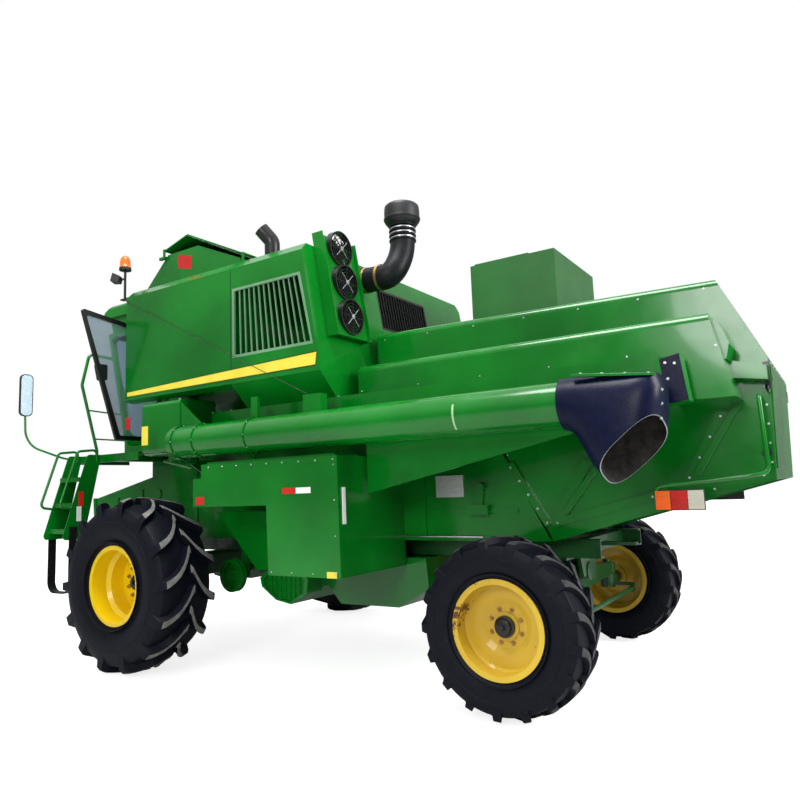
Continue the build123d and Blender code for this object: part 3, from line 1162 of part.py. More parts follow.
def feeder_house():
    """Tapered box with a rolled rear end, mouth frame, ribs, conveyor slats and header locks."""
    x, z = FEEDER_PIVOT_X, FEEDER_PIVOT_Z
    top, low = MOUTH_TOP - MOUTH_LIP, MOUTH_LOW + MOUTH_LIP
    box = side_prism([(x + 40, z + FEEDER_TURN_R), (mouth_x(top), top), (mouth_x(low), low), (x - 40, 1360)],
                     -FEEDER_HALF, FEEDER_HALF)
    box += cross_rod(x, z, -FEEDER_HALF, FEEDER_HALF, FEEDER_TURN_R)
    foot_x = mouth_x(MOUTH_LOW)
    box += side_prism([(FEEDER_MOUTH - 40, MOUTH_TOP), (FEEDER_MOUTH, MOUTH_TOP), (foot_x, MOUTH_LOW),
                       (foot_x - 40, MOUTH_LOW)], -FEEDER_HALF - MOUTH_LIP, FEEDER_HALF + MOUTH_LIP)
    inner = [(x - 300, z + 238), (x + 40, z + 235), (FEEDER_MOUTH + 20, 1534), (FEEDER_MOUTH + 20, 912),
             (FEEDER_MOUTH - 60, 912), (x - 40, 1390), (x - 300, 1390)]
    box -= side_prism(inner, PANEL - FEEDER_HALF, FEEDER_HALF - PANEL)
    for x0, z0, z1 in ((1250, 1300, 1660), (1700, 1150, 1580)):
        box += both(block(x0, x0 + 30, FEEDER_HALF - 1, FEEDER_HALF + RIB, z0, z1))
    for k in range(SLATS):
        low = along((x + 60, 1400), (LOCK_X - 10, LOCK_Z - 12), k / SLATS)
        box += block(low[0] - 15, low[0] + 15, 5 - FEEDER_HALF, FEEDER_HALF - 5, low[1], low[1] + 22)
    eye = LIFT_EYE[0]
    for side in (1, -1):
        for y in (LIFT_Y - 35.5 - LUG, LIFT_Y + 35.5):
            lug = side_prism([(eye - 70, 1190), (eye + 70, 1140), (eye + 30, 985, 20), (eye - 30, 985, 20)],
                             side * y, side * (y + LUG))
            box += lug - side_prism(inner, -FEEDER_HALF, FEEDER_HALF)
        box += cross_rod(*LIFT_EYE, side * (LIFT_Y - 50), side * (LIFT_Y + 50), EYE_PIN)
        box += cross_rod(LOCK_X, LOCK_Z, side * (FEEDER_HALF - 1), side * (FEEDER_HALF + LOCK_BOSS), 35)
        box -= cross_rod(LOCK_X, LOCK_Z, side * (FEEDER_HALF - 50), side * (FEEDER_HALF + 60), LOCK_R)
        box += cross_rod(x, z, side * (FEEDER_HALF - PANEL), side * (FEEDER_HALF + 15), 60)
        box -= cross_rod(x, z, side * (FEEDER_HALF - 60), side * (FEEDER_HALF + 60), FEEDER_PIN_R + RUN_FIT)
    return box


def lift_pair(start, end, radius, bore, eye, eye_r, eye_half, eye_bore):
    """Cylinder part with its cross eye, left and right."""
    bar = rod((start[0], LIFT_Y, start[1]), (end[0], LIFT_Y, end[1]), radius, bore)
    bar += cross_rod(*eye, LIFT_Y - eye_half, LIFT_Y + eye_half, eye_r)
    bar -= cross_rod(*eye, LIFT_Y - 80, LIFT_Y + 80, eye_bore)
    return bar, mirrored(bar)


save("feeder_house", feeder_house())
barrel_start, barrel_end = along(LIFT_BASE, LIFT_EYE, 0.03), along(LIFT_BASE, LIFT_EYE, 0.60)
rod_start = along(LIFT_BASE, LIFT_EYE, 0.30)
save("lift_barrels", *lift_pair(barrel_start, barrel_end, 50, 30.3, LIFT_BASE, 42, 50, LIFT_PIN + RUN_FIT))
save("lift_rods", *lift_pair(rod_start, LIFT_EYE, 30, 0, LIFT_EYE, 46, 35, EYE_BORE))


# Rear axle
BEAM_Z = REAR_TYRE_R + 120.0
TIE_X = REAR_X - TIE_REACH
TIE_Z = REAR_TYRE_R - 70.0
CYL_X = REAR_X + STEER_REACH
CYL_Z = REAR_TYRE_R + 80.0


def rear_axle():
    """Centre-pivoted beam with kingpin eyes, its trunnion and the saddle under the rails."""
    z = BEAM_Z
    reach = KINGPIN_Y - 60
    beam = cross_prism([(-reach, z - 50), (-reach, z + 60), (-300, z + 85), (300, z + 85), (reach, z + 60),
                        (reach, z - 50), (300, z - 75), (-300, z - 75)], REAR_X - 70, REAR_X + 70)
    beam += rod((REAR_X - 170, 0, z + 95), (REAR_X + 170, 0, z + 95), 75)
    for x in (-160, 130):
        beam += cross_prism([(-150, z + 60), (150, z + 60), (230, RAIL_Z0), (-230, RAIL_Z0)], REAR_X + x,
                            REAR_X + x + 30)
    saddle_y = RAIL_Y - RAIL_HALF + 20
    beam += block(REAR_X - 160, REAR_X + 160, -saddle_y, saddle_y, RAIL_Z0 - 30, RAIL_Z0)
    for side in (1, -1):
        beam += rod((REAR_X, side * KINGPIN_Y, z - 45), (REAR_X, side * KINGPIN_Y, z + 45), 80)
        beam -= rod((REAR_X, side * KINGPIN_Y, z - 100), (REAR_X, side * KINGPIN_Y, z + 100),
                    KINGPIN_R + RUN_FIT)
    return beam


def knuckle(side):
    """Kingpin, boss and stub axle, with the tie rod arm and on the left the steering arm."""
    z = REAR_TYRE_R
    y = side * KINGPIN_Y
    turn = Rot(0, 0, -90 * side)
    body = Pos(REAR_X, y, z + 4) * turn * Cylinder(70, 128)
    body += Pos(REAR_X, y, z + 125) * turn * Cylinder(KINGPIN_R, 150)
    body += ring([(0, y), (72, y), (72, side * (KINGPIN_Y + 90)), (58, side * (KINGPIN_Y + 150)),
                  (58, side * SPINDLE_END), (0, side * SPINDLE_END)], REAR_X, 0, z)
    body += cross_rod(REAR_X, z, side * (SPINDLE_END - 5), side * (SPINDLE_END + STUB), STUB_R)
    body += block(REAR_X - TIE_REACH - 30, REAR_X, y - 30, y + 30, z - 40, z - 15)
    if side > 0:
        body += block(REAR_X, REAR_X + STEER_REACH + 25, y - 25, y + 25, z + 15, z + 40)
        body += rod((REAR_X + STEER_REACH, y, z + 30), (REAR_X + STEER_REACH, y, z + 59.5), 14)
    return body


def tie_rod():
    """Track rod with its two ball pins."""
    bar = cross_rod(TIE_X, TIE_Z, -KINGPIN_Y - 22, KINGPIN_Y + 22, 20)
    for y in (-KINGPIN_Y, KINGPIN_Y):
        bar += cross_rod(TIE_X, TIE_Z, y - 30, y + 30, 28)
        bar += rod((TIE_X, y, TIE_Z), (TIE_X, y, REAR_TYRE_R - 40.5), 15)
    return bar


def steer_barrel():
    """Steering cylinder barrel, clamped to the beam."""
    barrel = cross_rod(CYL_X, CYL_Z, 100, 620, 38, 20.3) + cross_rod(CYL_X, CYL_Z, 60, 100, 38)
    return barrel + block(REAR_X + 70 + SEAT_GAP, CYL_X, 62, 98, CYL_Z - 30, CYL_Z + 30)


save("rear_axle", rear_axle())
save("knuckle_left", knuckle(1))
save("knuckle_right", knuckle(-1))
save("tie_rod", tie_rod())
save("steer_barrel", steer_barrel())
save("steer_rod", cross_rod(CYL_X, CYL_Z, 350, KINGPIN_Y + 25, 20))


# Straw walkers and lamps at the rear
def straw_walkers():
    """Four stepped trays with saw-tooth lips on two cross shafts."""
    teeth = [(-4900, 1700), (-3000, 1700)]
    for k in range(8):
        x = -3000 - 237.5 * k
        teeth += [(x, 1800), (x - 200, 1760)]
    trays = None
    for k in range(4):
        y0 = -700 + 355 * k
        tray = side_prism(teeth, y0, y0 + 330)
        trays = tray if trays is None else trays + tray
    for x in (-4700, -3300):
        trays += cross_rod(x, 1710, PANEL - HOOD_HALF, HOOD_HALF - PANEL, 22)
    return trays


def tail_lamp():
    """Three-part lamp on the bent tube that runs from the hood's foot to its rear corner."""
    y = 1000
    lamp = block(-4870, -4565, y - 15, y + 22, 1350, 1488)
    bar = bent_tube([(-5230, HOOD_HALF + SEAT_GAP, 2060), (-5230, y - 60, 2060), (-5245, y - 60, 1580),
                     (-5160, y, 1560), (-4640, y, 1515), (-4570, y, 1505), (-4570, y, 1440)], 15, 35)
    return lamp + bar


save("straw_walkers", straw_walkers())
save("tail_lamps", tail_lamp(), mirrored(tail_lamp()))
pulleys, belt = belt_drives()
save("belt_drives", *pulleys, belt)
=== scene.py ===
# %% [markdown]
# # A self-propelled combine harvester
# The imported CAD model is the frame of this picture. Its pressed sheets, tubes and plates keep their
# shape and only get a finish. What CAD leaves plain, such as tread bars, wheel nuts, lenses, clamps
# and cushions, is built here as meshes that each ride on an empty for their moving body.

# %% Load the frame
from math import cos, pi, radians, sin
import bmesh
import bpy
from mathutils import Matrix, Vector


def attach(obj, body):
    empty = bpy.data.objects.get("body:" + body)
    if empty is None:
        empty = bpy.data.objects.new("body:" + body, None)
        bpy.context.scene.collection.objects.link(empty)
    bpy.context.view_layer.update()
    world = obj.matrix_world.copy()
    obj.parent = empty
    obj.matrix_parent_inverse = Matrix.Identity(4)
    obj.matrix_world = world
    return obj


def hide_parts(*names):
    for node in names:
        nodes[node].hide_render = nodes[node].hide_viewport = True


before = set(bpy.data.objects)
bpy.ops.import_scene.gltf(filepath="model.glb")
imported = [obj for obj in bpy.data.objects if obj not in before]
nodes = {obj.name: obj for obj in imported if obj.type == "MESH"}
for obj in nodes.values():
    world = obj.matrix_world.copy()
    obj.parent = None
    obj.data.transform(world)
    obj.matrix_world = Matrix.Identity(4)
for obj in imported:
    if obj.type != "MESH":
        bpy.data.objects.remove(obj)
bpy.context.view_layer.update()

# %% [markdown]
# ## Camera
# The photograph was taken from behind the machine's left rear wheel, at about eye height. Three unit
# vectors hold the camera's right, down and forward directions, found by matching the four wheels.
# A wide lens gives the strong perspective that makes the near rear wheel look large.

# %% Place the camera
# The drive axle lies this far ahead of the model's origin, in millimetres
DRIVE_AXLE = 1550.0
# Metres from the point on the ground under the drive axle
EYE = (-5.65276, 5.7954, 1.56958)
VIEW_RIGHT = Vector((-0.83862747, -0.54339531, -0.03775594))
VIEW_DOWN = Vector((0.09999142, -0.08543981, -0.99131315))
VIEW_AHEAD = Vector((0.53544905, -0.8351177, 0.12598704))
FOCAL_PIXELS, PHOTO_PIXELS, SENSOR_MM = 687.1, 800.0, 36.0
camera_data = bpy.data.cameras.new("photo_camera")
camera_data.sensor_width = SENSOR_MM
camera_data.lens = FOCAL_PIXELS / PHOTO_PIXELS * SENSOR_MM
camera_data.clip_end = 200.0
camera = bpy.data.objects.new("photo_camera", camera_data)
bpy.context.scene.collection.objects.link(camera)
turn = Matrix((VIEW_RIGHT, -VIEW_DOWN, -VIEW_AHEAD)).transposed().to_4x4()
camera.matrix_world = Matrix.Translation((DRIVE_AXLE / 1000 + EYE[0], EYE[1], EYE[2])) @ turn
bpy.context.scene.camera = camera
print("lens", round(camera_data.lens, 2), "mm")

# %% [markdown]
# ## Light
# Enamel shows its gloss only when it has something broad to mirror. A large soft panel overhead
# stands for the sky, one beside the machine fills its near side, and one behind it reaches the tail
# and the hood. Round area lights are used, because their mirror image has no corners.

# %% Light the studio
# Columns: name, place, the point it faces, width in metres, watts
PANELS = [("sky_panel", (-1.0, 3.5, 12.0), (0.0, 0.0, 1.5), 6.0, 1350.0),
          ("side_panel", (-3.0, 12.0, 5.5), (0.0, 0.0, 1.8), 4.0, 470.0),
          ("rear_panel", (-13.0, -1.0, 6.0), (-2.0, 0.0, 2.2), 6.0, 1500.0)]
for name, place, aim, width, watts in PANELS:
    data = bpy.data.lights.new(name, "AREA")
    data.shape = "DISK"
    data.size = width
    data.energy = watts
    panel = bpy.data.objects.new(name, data)
    bpy.context.scene.collection.objects.link(panel)
    panel.location = place
    panel.rotation_euler = (Vector(aim) - Vector(place)).to_track_quat("-Z", "Y").to_euler()
# The plain view transform keeps saturated enamel as saturated as the paint chart has it
bpy.context.scene.view_settings.view_transform = "Standard"
print(len(PANELS), "panels")

# %% [markdown]
# ## How a finish is made
# Every finish is a Principled shader fed by a few texture nodes. One function adds a node with its
# settings and its inputs, and one turns the hex colours of a paint chart into Blender's linear
# values. Texture sizes come from real lengths: a scale of 1000 / L repeats every L millimetres.

# %% Node and colour helpers
NOISE, RAMP = "ShaderNodeTexNoise", "ShaderNodeValToRGB"
RANGE, BUMP = "ShaderNodeMapRange", "ShaderNodeBump"
MATH, MIX = "ShaderNodeMath", "ShaderNodeMix"
# A colour mix has its factor and its two colours at these inputs, and its colour at this output
FACTOR, UNDER, OVER, MIXED = 0, 6, 7, 2


def linear(code):
    """Linear colour from an sRGB hex value."""
    parts = [int(code[k:k + 2], 16) / 255 for k in (1, 3, 5)]
    return (*[v / 12.92 if v <= 0.04045 else ((v + 0.055) / 1.055) ** 2.4 for v in parts], 1.0)


def add(tree, kind, settings, inputs, stops=()):
    """Add a node; an input is a value or another node's output, and stops colour a ramp."""
    made = tree.nodes.new(kind)
    for name, value in settings.items():
        setattr(made, name, value)
    for name, value in inputs.items():
        socket = made.inputs[name]
        if isinstance(value, bpy.types.NodeSocket):
            tree.links.new(value, socket)
        else:
            socket.default_value = value
    for number, (place, code) in enumerate(stops):
        ramp = made.color_ramp.elements
        element = ramp[number] if number < 2 else ramp.new(place)
        element.position = place
        element.color = linear(code)
    return made


def start(name, **constants):
    """Empty material with its Principled shader, its constant settings and object coordinates."""
    material = bpy.data.materials.new(name)
    material.use_nodes = True
    tree = material.node_tree
    shader = tree.nodes["Principled BSDF"]
    for key, value in constants.items():
        shader.inputs[key.replace("_", " ")].default_value = value
    return material, tree, shader, add(tree, "ShaderNodeTexCoord", {}, {}).outputs["Object"]


print("helpers ready")

# %% [markdown]
# ## Sky of the studio
# The photograph has a plain white background, but a machine lit by white from every side looks flat.
# So the world has two strengths. The camera sees white, while the machine is lit by a grey that is
# dim at the horizon and bright overhead. Its shaded sides stay deep, and its gloss shows where a
# sheet bends.

# %% Sky of the studio
HORIZON_LIGHT, ZENITH_LIGHT, SKY_SEEN = 0.20, 1.05, 1.0
world = bpy.data.worlds.new("pale_studio")
bpy.context.scene.world = world
world.use_nodes = True
sky_tree = world.node_tree
path_kind = add(sky_tree, "ShaderNodeLightPath", {}, {})
way = add(sky_tree, "ShaderNodeTexCoord", {}, {})
height = add(sky_tree, "ShaderNodeSeparateXYZ", {}, {"Vector": way.outputs["Generated"]})
glow = add(sky_tree, RANGE, {"interpolation_type": "SMOOTHSTEP"},
           {"Value": height.outputs["Z"], "From Min": 0.0, "From Max": 0.8,
            "To Min": HORIZON_LIGHT, "To Max": ZENITH_LIGHT})
strength = add(sky_tree, RANGE, {}, {"Value": path_kind.outputs["Is Camera Ray"],
                                     "To Min": glow.outputs["Result"], "To Max": SKY_SEEN})
backdrop = sky_tree.nodes["Background"]
backdrop.inputs["Color"].default_value = linear("#ffffff")
sky_tree.links.new(strength.outputs["Result"], backdrop.inputs["Strength"])
print("sky", HORIZON_LIGHT, ZENITH_LIGHT, SKY_SEEN)

# %% [markdown]
# ## Sprayed enamel
# The panels are pressed steel sheet, sprayed with gloss alkyd enamel and stoved. The film is smooth,
# so it mirrors the sky softly, and the sheet under it is slightly wavy, which bends those
# reflections. Weather leaves pale dust where it can lie and dulls the gloss in patches. A coat
# layer on top of the colour gives the clear gloss.

# %% Enamel
DUST, RUST = "#8c8878", "#5a3015"


def enamel(name, lit, deep, dust, gloss, wave=420.0, chips=0.0):
    """Gloss paint in two near shades, dusty where it looks up, with rusty chips where chips > 0."""
    material, tree, shader, place = start(name, IOR=1.5, Specular_IOR_Level=0.35, Coat_Weight=0.28,
                                          Coat_Roughness=0.05)
    shade = add(tree, NOISE, {}, {"Vector": place, "Scale": 1000 / 900.0, "Detail": 4.0})
    paint = add(tree, RAMP, {}, {"Fac": shade.outputs["Fac"]}, [(0.35, deep), (0.65, lit)])
    # dust lies thick on what looks up, and thinly on upright sheet
    normal = add(tree, "ShaderNodeNewGeometry", {}, {}).outputs["Normal"]
    upward = add(tree, "ShaderNodeSeparateXYZ", {}, {"Vector": normal}).outputs["Z"]
    lying = add(tree, RANGE, {}, {"Value": upward, "From Min": 0.3, "From Max": 1.0,
                                  "To Min": 0.12, "To Max": 1.0})
    lumps = add(tree, NOISE, {}, {"Vector": place, "Scale": 1000 / 160.0, "Detail": 8.0,
                                  "Roughness": 0.7})
    cloud = add(tree, RANGE, {}, {"Value": lumps.outputs["Fac"], "From Min": 0.50,
                                  "From Max": 0.78, "To Max": dust})
    film = add(tree, MATH, {"operation": "MULTIPLY"}, {0: lying.outputs["Result"],
                                                       1: cloud.outputs["Result"]})
    top = add(tree, MIX, {"data_type": "RGBA"}, {FACTOR: film.outputs["Value"],
                                                 UNDER: paint.outputs["Color"], OVER: linear(DUST)})
    if chips:
        # chips sit in groups: small flakes show only where a broader noise is high
        flake = add(tree, NOISE, {}, {"Vector": place, "Scale": 1000 / 45.0, "Detail": 6.0,
                                      "Roughness": 0.75})
        group = add(tree, NOISE, {}, {"Vector": place, "Scale": 1000 / 280.0, "Detail": 1.0})
        both = add(tree, MATH, {"operation": "MULTIPLY"}, {0: flake.outputs["Fac"],
                                                           1: group.outputs["Fac"]})
        bare = add(tree, RANGE, {}, {"Value": both.outputs["Value"], "From Min": 0.375,
                                     "From Max": 0.39, "To Max": chips})
        top = add(tree, MIX, {"data_type": "RGBA"}, {FACTOR: bare.outputs["Result"],
                                                     UNDER: top.outputs[MIXED], OVER: linear(RUST)})
    tree.links.new(top.outputs[MIXED], shader.inputs["Base Color"])
    patch = add(tree, NOISE, {}, {"Vector": place, "Scale": 1000 / 230.0, "Detail": 6.0,
                                  "Roughness": 0.65})
    dull = add(tree, RANGE, {}, {"Value": patch.outputs["Fac"], "From Min": 0.3, "From Max": 0.7,
                                 "To Min": gloss, "To Max": gloss + 0.14})
    tree.links.new(dull.outputs["Result"], shader.inputs["Roughness"])
    # sheet waviness is far longer than the orange peel, which is too fine to show
    wavy = add(tree, NOISE, {}, {"Vector": place, "Scale": 1000 / wave, "Detail": 1.0})
    sheet = add(tree, BUMP, {}, {"Strength": 0.10, "Distance": 0.02, "Height": wavy.outputs["Fac"]})
    tree.links.new(sheet.outputs["Normal"], shader.inputs["Normal"])
    return material


# Body sheets: a deep, wet-looking green
GREEN = enamel("green_alkyd_enamel", "#03741b", "#025c14", 0.10, 0.11)
# Frame and axles: the body green darkened as painted shade, and only half glossy
PAINTED_SHADE_GREEN = enamel("green_enamel_with_painted_shade", "#054d17", "#03350f", 0.20, 0.34)
# Drive wheels' rims: clean and bright
YELLOW = enamel("yellow_rim_enamel", "#f0d00c", "#e3bf08", 0.15, 0.28, 160.0)
# Steered wheels' rims: bleached by weather and chipped to rust
OLD_YELLOW = enamel("weathered_rim_enamel", "#d6b42e", "#c09c24", 0.30, 0.50, 160.0, 1.0)
# Fuel tank: a thin coat that the sun has dulled
OLIVE = enamel("olive_tank_enamel", "#1f6526", "#19521d", 0.25, 0.42)
# Grille bars: faded to a pale grey-green
BAR_GREEN = enamel("faded_grille_enamel", "#6f9a76", "#55805b", 0.10, 0.30, 160.0)
# Small black ironwork: a satin film
BLACK = enamel("black_satin_enamel", "#0b0c0e", "#060708", 0.10, 0.38, 160.0)
print("7 enamels")

# %% [markdown]
# ## Rubber
# Tyres and the auger's spout are carbon-black rubber, moulded and vulcanised. New rubber looks
# blue-black under the sky. It is rough, and dry soil stays in its pores, so a brown-grey noise lies
# over it, and the rubbed tops of the tread bars are paler still.

# %% Moulded rubber
def rubber(name, dark, pale, dusty, rough):
    """Matte rubber with a dusty bloom."""
    material, tree, shader, place = start(name, IOR=1.52, Roughness=rough, Specular_IOR_Level=0.14)
    bloom = add(tree, NOISE, {}, {"Vector": place, "Scale": 1000 / 70.0, "Detail": 8.0,
                                  "Roughness": 0.7})
    colour = add(tree, RAMP, {}, {"Fac": bloom.outputs["Fac"]},
                 [(0.32, dark), (0.62, pale), (0.80, dusty)])
    tree.links.new(colour.outputs["Color"], shader.inputs["Base Color"])
    # real pores are under a millimetre; drawn at 9 mm so that the render can hold them
    pore = add(tree, NOISE, {}, {"Vector": place, "Scale": 1000 / 9.0, "Detail": 3.0})
    pores = add(tree, BUMP, {}, {"Strength": 0.25, "Distance": 0.004, "Height": pore.outputs["Fac"]})
    tree.links.new(pores.outputs["Normal"], shader.inputs["Normal"])
    return material


# Tyre walls: nearly new, blue-black
TYRE = rubber("vulcanised_tyre_rubber", "#04060f", "#090c18", "#1c1d23", 0.52)
# Tops of the drive tyres' bars: ground pale by hard soil
TREAD_TOP = rubber("rubbed_tread_rubber", "#55565a", "#7a7974", "#a8a49a", 0.78)
# Tops of the steered tyres' bars: scuffed grey
WORN_BAR = rubber("scuffed_tread_rubber", "#2c2d31", "#4b4b4a", "#85827a", 0.74)
# Auger's spout: navy, with a soft sheen
SPOUT_RUBBER = rubber("navy_chute_rubber", "#050a22", "#0a112e", "#1d2643", 0.34)
# Inside of the spout: grain dust makes it matt
DUSTY_INSIDE = rubber("dusty_chute_lining", "#161617", "#35332f", "#77726a", 0.80)
# Hoses and straps: plain black with a low gloss
HOSE = rubber("black_hose_rubber", "#0d0e10", "#17191c", "#3a3a39", 0.42)
print("6 rubbers")

# %% [markdown]
# ## Metals
# Rods are ground and chromed, so they stay sharp mirrors. Zinc-plated clamps and bolts are softer
# and mottled. A metal's colour is its reflection, so each one is a metallic shader whose colour and
# roughness vary at the size of its spangle, and its IOR stays as Blender sets it.

# %% Metals
def metal(name, pale, deep, rough, lump):
    """Bare or plated metal, mottled at the size of lump."""
    material, tree, shader, place = start(name, Metallic=1.0)
    spangle = add(tree, NOISE, {}, {"Vector": place, "Scale": 1000 / lump, "Detail": 5.0})
    colour = add(tree, RAMP, {}, {"Fac": spangle.outputs["Fac"]}, [(0.3, deep), (0.7, pale)])
    tree.links.new(colour.outputs["Color"], shader.inputs["Base Color"])
    fine = add(tree, NOISE, {}, {"Vector": place, "Scale": 3000 / lump, "Detail": 4.0})
    spread = add(tree, RANGE, {}, {"Value": fine.outputs["Fac"], "To Min": rough,
                                   "To Max": rough + 0.2})
    tree.links.new(spread.outputs["Result"], shader.inputs["Roughness"])
    return material


# Cylinder and control rods: a sharp, bright mirror
CHROME = metal("chromed_rod_steel", "#e4e6e8", "#c4c7ca", 0.08, 60.0)
# Bolts and walkers: a soft grey shine
ZINC = metal("zinc_plated_steel", "#d2d5d6", "#a4a8aa", 0.30, 25.0)
# Wheel nuts and hose clamps: plated and dipped, which gives a warm, dull gold
PASSIVATED = metal("yellow_passivated_steel", "#c9a86a", "#9d8150", 0.35, 20.0)
# Engine block and the taut wire: rough and nearly without gloss
IRON = metal("cast_engine_iron", "#5a5b57", "#34352f", 0.6, 40.0)
# Blank plate on the cover: rolled sheet, bright but brushed by wiping
BARE_PLATE = metal("stamped_aluminium_plate", "#d5d8d6", "#a9aca9", 0.35, 12.0)
print("5 metals")

# %% [markdown]
# ## Plastics, fabric and films
# Housings are injection-moulded in a grained tool, so they have a faint texture and a broken sheen.
# Films are cast vinyl, smooth and evenly coloured, and the seat's cover is a coarse weave. One
# function makes them all, because they differ only in colour, roughness and the size of their grain.

# %% Plastics, fabric and films
def moulding(name, colour, deep, rough, lump=30.0):
    """Moulded plastic, film or cloth with a faint texture."""
    material, tree, shader, place = start(name, IOR=1.46)
    broad = add(tree, NOISE, {}, {"Vector": place, "Scale": 1000 / 200.0, "Detail": 4.0})
    shade = add(tree, RAMP, {}, {"Fac": broad.outputs["Fac"]}, [(0.3, deep), (0.7, colour)])
    tree.links.new(shade.outputs["Color"], shader.inputs["Base Color"])
    rub = add(tree, NOISE, {}, {"Vector": place, "Scale": 1000 / lump, "Detail": 5.0})
    worn = add(tree, RANGE, {}, {"Value": rub.outputs["Fac"], "To Min": rough,
                                 "To Max": rough + 0.15})
    tree.links.new(worn.outputs["Result"], shader.inputs["Roughness"])
    # the tool's grain is about a millimetre; drawn at 6 mm so that it shows
    spark = add(tree, NOISE, {}, {"Vector": place, "Scale": 1000 / 6.0, "Detail": 2.0})
    bump = add(tree, BUMP, {}, {"Strength": 0.12, "Distance": 0.002, "Height": spark.outputs["Fac"]})
    tree.links.new(bump.outputs["Normal"], shader.inputs["Normal"])
    return material


# Lamp and mirror housings: black with a broken sheen
PLASTIC = moulding("black_moulded_polypropylene", "#1a1c1e", "#0f1012", 0.40)
# Fan motors' mounts: pale grey, waxy; on the spout's cut edge this pale grey is a painted highlight
GREY_NYLON_AND_RIM_HIGHLIGHT = moulding("grey_nylon_and_painted_rim_highlight", "#8f9396", "#767a7d", 0.45)
# Fan blades: dusty and flat
FAN_PLASTIC = moulding("matt_fan_nylon", "#111214", "#090a0b", 0.72)
# Seat cover: no shine at all, with a 4 mm weave
FABRIC = moulding("woven_seat_fabric", "#26272b", "#1a1b1f", 0.85, 4.0)
# Reflectors, stripe and edge: smooth films with an even gloss
WHITE_FILM = moulding("white_reflective_film", "#e9ebe8", "#d8dad6", 0.30)
RED_FILM = moulding("red_reflective_film", "#c8221b", "#a81a14", 0.28)
YELLOW_FILM = moulding("yellow_vinyl_film", "#e6d84e", "#dccb3c", 0.30)
BLACK_FILM = moulding("black_vinyl_film", "#141516", "#0f1011", 0.30)
# A painted highlight along the auger's collar: a pale green band, paler than the sheet round it
COLLAR_HIGHLIGHT = moulding("painted_collar_highlight", "#a9cf9c", "#8fbd84", 0.35)
print("9 plastics and films")

# %% [markdown]
# ## Lenses and glass
# Lenses are moulded acrylic, clear inside, so their colour is deep. The cab's panes are safety
# glass with a blue tint, which lets light through to the seat. A mirror lets nothing through, and its
# pale blue colour is a painted reflection of the sky under a sharp gloss. Smears vary the gloss a little.

# %% Lenses and glass
def clear(name, tints, through, rough):
    """Tinted clear moulding or pane, with faint smears."""
    material, tree, shader, place = start(name, IOR=1.49, Transmission_Weight=through)
    broad = add(tree, NOISE, {}, {"Vector": place, "Scale": 1000 / 120.0, "Detail": 4.0})
    pale = add(tree, RAMP, {}, {"Fac": broad.outputs["Fac"]}, [(0.3, tints[0]), (0.7, tints[1])])
    tree.links.new(pale.outputs["Color"], shader.inputs["Base Color"])
    wipe = add(tree, NOISE, {}, {"Vector": place, "Scale": 1000 / 90.0, "Detail": 6.0})
    smear = add(tree, RANGE, {}, {"Value": wipe.outputs["Fac"], "To Min": rough,
                                  "To Max": rough + 0.08})
    tree.links.new(smear.outputs["Result"], shader.inputs["Roughness"])
    return material


# Cab panes: clear, with a cool tint
GLASS = clear("tinted_safety_glass", ("#cfe4f3", "#dbecf7"), 0.92, 0.02)
# Mirrors: a sharp gloss, nothing behind it, and the sky's reflection painted in pale blue
MIRROR_WITH_PAINTED_REFLECTION = clear("mirror_glass_painted_reflection", ("#c3dcec", "#d3e6f2"), 0.0, 0.05)
# Beacon, markers and lamps: deep colours with a soft inner light
AMBER = clear("amber_acrylic_lens", ("#f2600a", "#ff7a10"), 0.15, 0.18)
RED = clear("red_acrylic_lens", ("#b5120d", "#cf1f16"), 0.15, 0.18)
WHITE = clear("white_acrylic_lens", ("#c9c6b2", "#d8d5c4"), 0.15, 0.20)
print("5 clear finishes")

# %% [markdown]
# ## Finishes for the CAD solids
# A solid whose shape is right keeps its mesh, and its slot gets one of the finishes above. The table
# names only the pieces that aren't body green.

# %% Dress the CAD nodes
DRESS = [
    (YELLOW, "front_rim_left front_rim_right"),
    (OLD_YELLOW, "rear_rim_left rear_rim_right"),
    # frame and axles take the darker green, which is painted shade
    (PAINTED_SHADE_GREEN, "main_frame drive_axle rear_axle knuckle_left knuckle_right tie_rod"),
    (BLACK, "lift_barrels steer_barrel exhaust_pipe rear_screen fan_guards cab_door"),
    (CHROME, "lift_rods steer_rod"),
    (OLIVE, "fuel_tank"),
    (IRON, "engine_block"),
    (BAR_GREEN, "side_grille"),
    (ZINC, "straw_walkers"),
    (FAN_PLASTIC, "fan_rotor_1 fan_rotor_2 fan_rotor_3"),
    (GLASS, "cab_glass cab_door_glass"),
    (HOSE, "step_strap"),
    (SPOUT_RUBBER, "auger_spout"),
    (PLASTIC, "steering_console"),
]
coats = {name: finish for finish, names in DRESS for name in names.split()}
for name, node in nodes.items():
    for slot in node.material_slots:
        slot.material = coats.get(name, GREEN)
print(len(nodes), "nodes dressed,", len(coats), "of them not in body green")

# %% [markdown]
# ## How a piece is built
# Most small pieces are a stack of rings joined by skin: a prism is two rings, a turned part is a
# ring carried round an axis, a tube is circles along a path. One function joins the stacks, one
# turns them into an object that rides on its body. Lengths are in millimetres ahead of the drive
# axle, to the left and up, as in the drawings of the machine.

# %% Rings and skins
AHEAD, REAR, LEFT, UP = (1, 0, 0), (-1, 0, 0), (0, 1, 0), (0, 0, 1)
SIDES = ((1, "left"), (-1, "right"))


